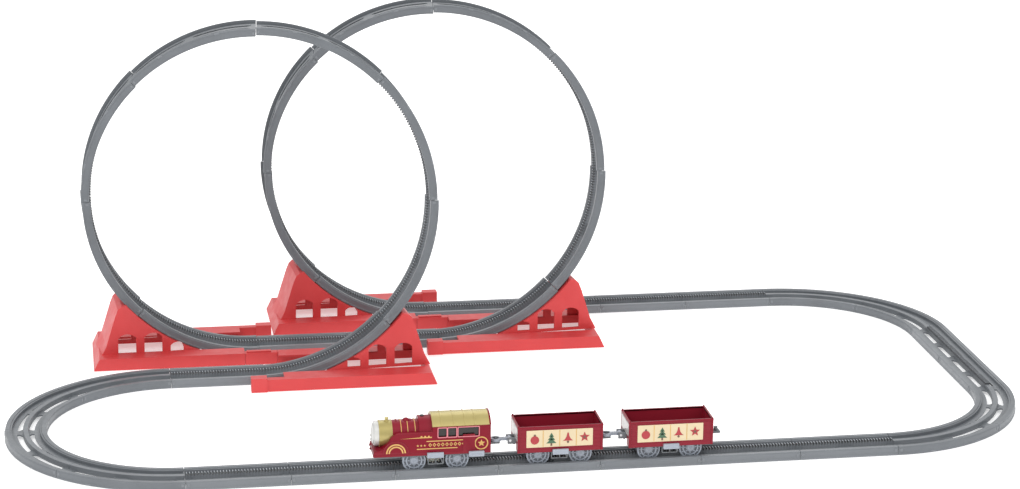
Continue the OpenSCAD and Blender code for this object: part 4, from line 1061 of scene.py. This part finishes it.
def build_wagon(s, name):
    """Tub with planks, rim and posts, printed panels, a painted highlight on its -x end, steps and side
    frames.
    """
    low, high = corners(name + "_tub")
    at = ((low[0] + high[0]) / 2, (low[1] + high[1]) / 2, 0)
    half_x, half, z0, z1 = (high[0] - low[0]) / 2 - 0.6, (high[1] - low[1]) / 2 - 0.6, low[2], high[2]
    w = s.tub_wall
    tub = Part()
    for side in (1, -1):
        tub.merge(block((-half_x, half_x), across(side, half - w, half - 0.15), (z0, z1), 0.2, 1))
        x = across(side, half_x - w, half_x - 0.15)
        tub.merge(block(x, (-half + 0.2, half - 0.2), (29.4, z1), 0.2, 1))
        for y in ((-half + 0.2, -6.5), (6.5, half - 0.2)):
            tub.merge(block(x, y, (z0, 29.6), 0.2, 1))
    tub.merge(block((-half_x + 0.5, half_x - 0.5), (-half + 0.5, half - 0.5), (27.3, 28.9), 0.2, 1))
    count = 6
    tall = (z1 - 2.4 - z0 - 0.3) / count
    for k in range(count):
        z = (z0 + 0.2 + k * tall, z0 + (k + 1) * tall - 0.1)
        for side in (1, -1):
            tub.merge(block((1.5 - half_x, half_x - 1.5), across(side, half - 0.4, half), z, 0.2, 1))
            if z[0] > 29:
                tub.merge(block(across(side, half_x - 0.4, half_x), (1.5 - half, half - 1.5), z, 0.2, 1))
    out_x, out_y = half_x + 0.5, half + 0.5
    outer = rounded([[-out_x, -out_y], [out_x, -out_y], [out_x, out_y], [-out_x, out_y]], 0.8)
    inner = rounded([[-half_x + w, -half + w], [half_x - w, -half + w], [half_x - w, half - w],
                     [-half_x + w, half - w]], 0.5)
    tub.merge(plate([outer, inner], (z1 - 1.9, z1 + 0.05), 0.3, "z"))
    for x in (-half_x - 0.3, half_x - 2.0):
        for y in (-half - 0.4, half - 1.9):
            tub.merge(block((x, x + 2.3), (y, y + 2.3), (z0, z1), 0.4))
            tub.merge(block((x + 0.5, x + 1.8), (y + 0.5, y + 1.8), (z1 - 0.4, z1 + 1.3), 0.4))

    def place(part, ending, slot, looks, replaces=()):
        part.object(name + ending, name, slot, finish(*looks), replaces, 35, at)

    place(tub, "_planked_tub", "crimson_gloss", ("crimson_gloss",), (name + "_tub",))
    # A pale silver-white plate on the tub's -x end, the end towards the camera: a painted highlight on that
    # end.
    y, top = half - 2.6, z1 - 2.6
    rim = rounded([[-y, 30], [y, 30], [y, top], [-y, top]], 1)
    pale = plate([rim], (-half_x - 0.35, 0.1 - half_x), 0.15, "x")
    place(pale, "_end_panel", "printed_cream", ("silver_white",))
    x0, x1 = -32.0, 30.5
    zc = (z0 + 5.5 + z1 - 3.8) / 2
    card = strip((x0, x1), (z0 + 5.2, z1 - 3.6), (half + 0.02, half + 0.42), 0.1)
    lay = (half + 0.44, half + 0.56)
    pictures = Part()
    for k, picture in enumerate(motifs(zc)):
        mid = x0 + (x1 - x0) * (k + 0.5) / 4
        for mark, loops in picture:
            loops = [np.asarray(l, float) * 1.2 + [mid, -0.2 * zc] for l in loops]
            pictures.merge(plate(loops, (lay[0], lay[1] + 0.06 * mark), 0.04), mark=mark)
    for k in (1, 2, 3):
        x = x0 + (x1 - x0) * k / 4
        pictures.merge(strip((x - 0.35, x + 0.35), (z0 + 5.6, z1 - 4), lay, 0.04), mark=3)
    place(card.both_sides(), "_cards", "printed_cream", ("printed_cream",), (name + "_panels",))
    place(pictures.both_sides(), "_pictures", "printed_cream",
          ("print_green", "print_red", "print_brown", "trim_gold"))
    steps = step(0, 14.6, half + 0.35, z0, Part()).both_sides()
    place(steps, "_steps", "wheel_grey", ("wheel_grey",))
    near, far = centre(name + "_front_wheels")[0] - at[0], centre(name + "_rear_wheels")[0] - at[0]
    r = s.wheel_d / 2 + 1
    frames = side_frame(min(near, far) + r, max(near, far) - r, 13.6).both_sides()
    place(frames, "_side_frames", "chassis_grey", ("chassis_grey",))


def dress_train():
    """Finishes for the CAD nodes that stay in view."""
    dress(SUPPORTS + ("support_links",), "coral_plastic")
    dress(("loco_windows",), "window_dark")
    dress(("battery",), "battery_wrap")
    dress(("motor_pinion",), "brass")
    dress(("reduction_gear", "drive_gear"), "gear_nylon")
    dress(("switch_base",), "black_plastic")
    dress(("battery_contacts", "motor", "reduction_pin", "loco_screws", "loco_front_axle", "loco_rear_axle"),
          "steel")
    dress(("loco_chassis",), "chassis_grey")
    for wagon in WAGONS:
        dress((wagon + "_chassis",), "chassis_grey")
        dress((wagon + "_drawbar",), "wheel_grey")
        dress([wagon + end for end in ("_front_axle", "_rear_axle", "_drawbar_pin", "_screws")], "steel")


class TRAIN_OT_track(bpy.types.Operator):
    """Lays the flat sections and both loops"""

    bl_idname = "train_set.track"
    bl_label = "Track"

    def execute(self, context):
        build_track(measures(context.scene.track_sizes))
        dress(("ground_clips", "loop_1_clips", "loop_2_clips"), "black_plastic")
        return {"FINISHED"}


class TRAIN_OT_locomotive(bpy.types.Operator):
    """Builds the locomotive's shell, roof, trim, disc, ring and running gear"""

    bl_idname = "train_set.locomotive"
    bl_label = "Locomotive"

    def execute(self, context):
        build_locomotive(measures(context.scene.train_sizes))
        build_knob()
        return {"FINISHED"}


class TRAIN_OT_wagons(bpy.types.Operator):
    """Builds both open wagons"""

    bl_idname = "train_set.wagons"
    bl_label = "Wagons"

    def execute(self, context):
        for name in WAGONS:
            build_wagon(measures(context.scene.train_sizes), name)
        return {"FINISHED"}


class TRAIN_OT_wheels(bpy.types.Operator):
    """Builds the six pairs of wheels"""

    bl_idname = "train_set.wheels"
    bl_label = "Wheels"

    def execute(self, context):
        for vehicle in ("loco", *WAGONS):
            for end in ("front", "rear"):
                wheelset(measures(context.scene.train_sizes), f"{vehicle}_{end}_wheelset",
                         f"{vehicle}_{end}_wheels")
        return {"FINISHED"}


class TRAIN_OT_dress(bpy.types.Operator):
    """Gives the supports and the parts inside the train their finishes"""

    bl_idname = "train_set.dress"
    bl_label = "Supports and inner parts"

    def execute(self, context):
        dress_train()
        return {"FINISHED"}


class TRAIN_OT_stage(bpy.types.Operator):
    """Sets the floor, the soft lights and the camera"""

    bl_idname = "train_set.stage"
    bl_label = "Stage"

    def execute(self, context):
        s = context.scene.train_studio
        n = Nodes("pale floor")
        tone = n.mix(n.spread(n.noise(3, 3, 0.5), 0.3, 0.7), (0.90, 0.90, 0.90, 1), (0.93, 0.93, 0.93, 1))
        n.cover(tone, n.spread(n.noise(8, 2, 0.5), 0.3, 0.7, 0.55, 0.7),
                {"Emission Color": (1.0, 1.0, 1.0, 1.0), "Emission Strength": 0.42})
        mesh = bpy.data.meshes.new("floor")
        far, low = 9.0, -0.0004
        rim = [(-far, -far, low), (far, -far, low), (far, far, low), (-far, far, low)]
        mesh.from_pydata(rim, [], [(0, 1, 2, 3)])
        mesh.materials.append(n.material)
        floor = bpy.data.objects.new("floor", mesh)
        context.scene.collection.objects.link(floor)
        world = bpy.data.worlds.new("studio sky")
        world.use_nodes = True
        sky = world.node_tree.nodes["Background"]
        sky.inputs["Color"].default_value = (1.0, 1.0, 1.0, 1.0)
        sky.inputs["Strength"].default_value = s.world
        context.scene.world = world
        for name, place, size, power in (("key", (-1.3, -1.9, 2.4), 2.2, s.key),
                                         ("fill", (2.2, -1.2, 1.8), 2.0, s.key * 0.35),
                                         ("back", (0.3, 2.4, 2.2), 2.0, s.key * 0.45)):
            lamp = bpy.data.lights.new(name, "AREA")
            lamp.size = size
            lamp.energy = power
            holder = bpy.data.objects.new(name, lamp)
            holder.location = place
            holder.rotation_euler = (-Vector(place)).to_track_quat("-Z", "Y").to_euler()
            context.scene.collection.objects.link(holder)
        context.scene.view_settings.view_transform = "Standard"
        self.camera(context, s)
        return {"FINISHED"}

    def camera(self, context, s):
        """Looks along +Y, turned towards +X, tipped down and rolled."""
        cam = bpy.data.cameras.new("camera")
        cam.sensor_width = 36.0
        cam.lens = s.lens
        cam.clip_end = 100.0
        holder = bpy.data.objects.new("camera", cam)
        forward = Vector((math.sin(s.turn) * math.cos(s.tip), math.cos(s.turn) * math.cos(s.tip),
                          -math.sin(s.tip)))
        side = Vector((math.cos(s.turn), -math.sin(s.turn), 0))
        up = side.cross(forward)
        right = math.cos(s.roll) * side + math.sin(s.roll) * up
        top = -math.sin(s.roll) * side + math.cos(s.roll) * up
        place = Matrix((right, top, -forward)).transposed().to_4x4()
        place.translation = Vector(s.camera_at)
        holder.matrix_world = place
        context.scene.collection.objects.link(holder)
        context.scene.camera = holder


class TRAIN_PT_panel(bpy.types.Panel):
    """Lists the builders in the sidebar"""

    bl_label = "Train Set"
    bl_idname = "TRAIN_PT_panel"
    bl_space_type = "VIEW_3D"
    bl_region_type = "UI"
    bl_category = "Train Set"

    def draw(self, context):
        for group in ("track_sizes", "train_sizes", "train_finishes", "train_studio"):
            box = self.layout.box()
            settings = getattr(context.scene, group)
            for name in settings.bl_rna.properties.keys():
                if name not in ("rna_type", "name"):
                    box.prop(settings, name)
        for op in OPERATORS:
            self.layout.operator(op.bl_idname)


GROUPS = {"track_sizes": TrackSizes, "train_sizes": TrainSizes, "train_finishes": Finishes,
          "train_studio": StudioSettings}
OPERATORS = (TRAIN_OT_stage, TRAIN_OT_track, TRAIN_OT_locomotive, TRAIN_OT_wagons, TRAIN_OT_wheels,
             TRAIN_OT_dress)


def register():
    for name, group in GROUPS.items():
        bpy.utils.register_class(group)
        setattr(bpy.types.Scene, name, bpy.props.PointerProperty(type=group))
    for cls in (*OPERATORS, TRAIN_PT_panel):
        bpy.utils.register_class(cls)


def unregister():
    for cls in (TRAIN_PT_panel, *reversed(OPERATORS)):
        bpy.utils.unregister_class(cls)
    for name, group in reversed(list(GROUPS.items())):
        delattr(bpy.types.Scene, name)
        bpy.utils.unregister_class(group)


def main():
    register()
    for op in OPERATORS:
        area, name = op.bl_idname.split(".")
        getattr(getattr(bpy.ops, area), name)()


if __name__ == "__main__":
    main()
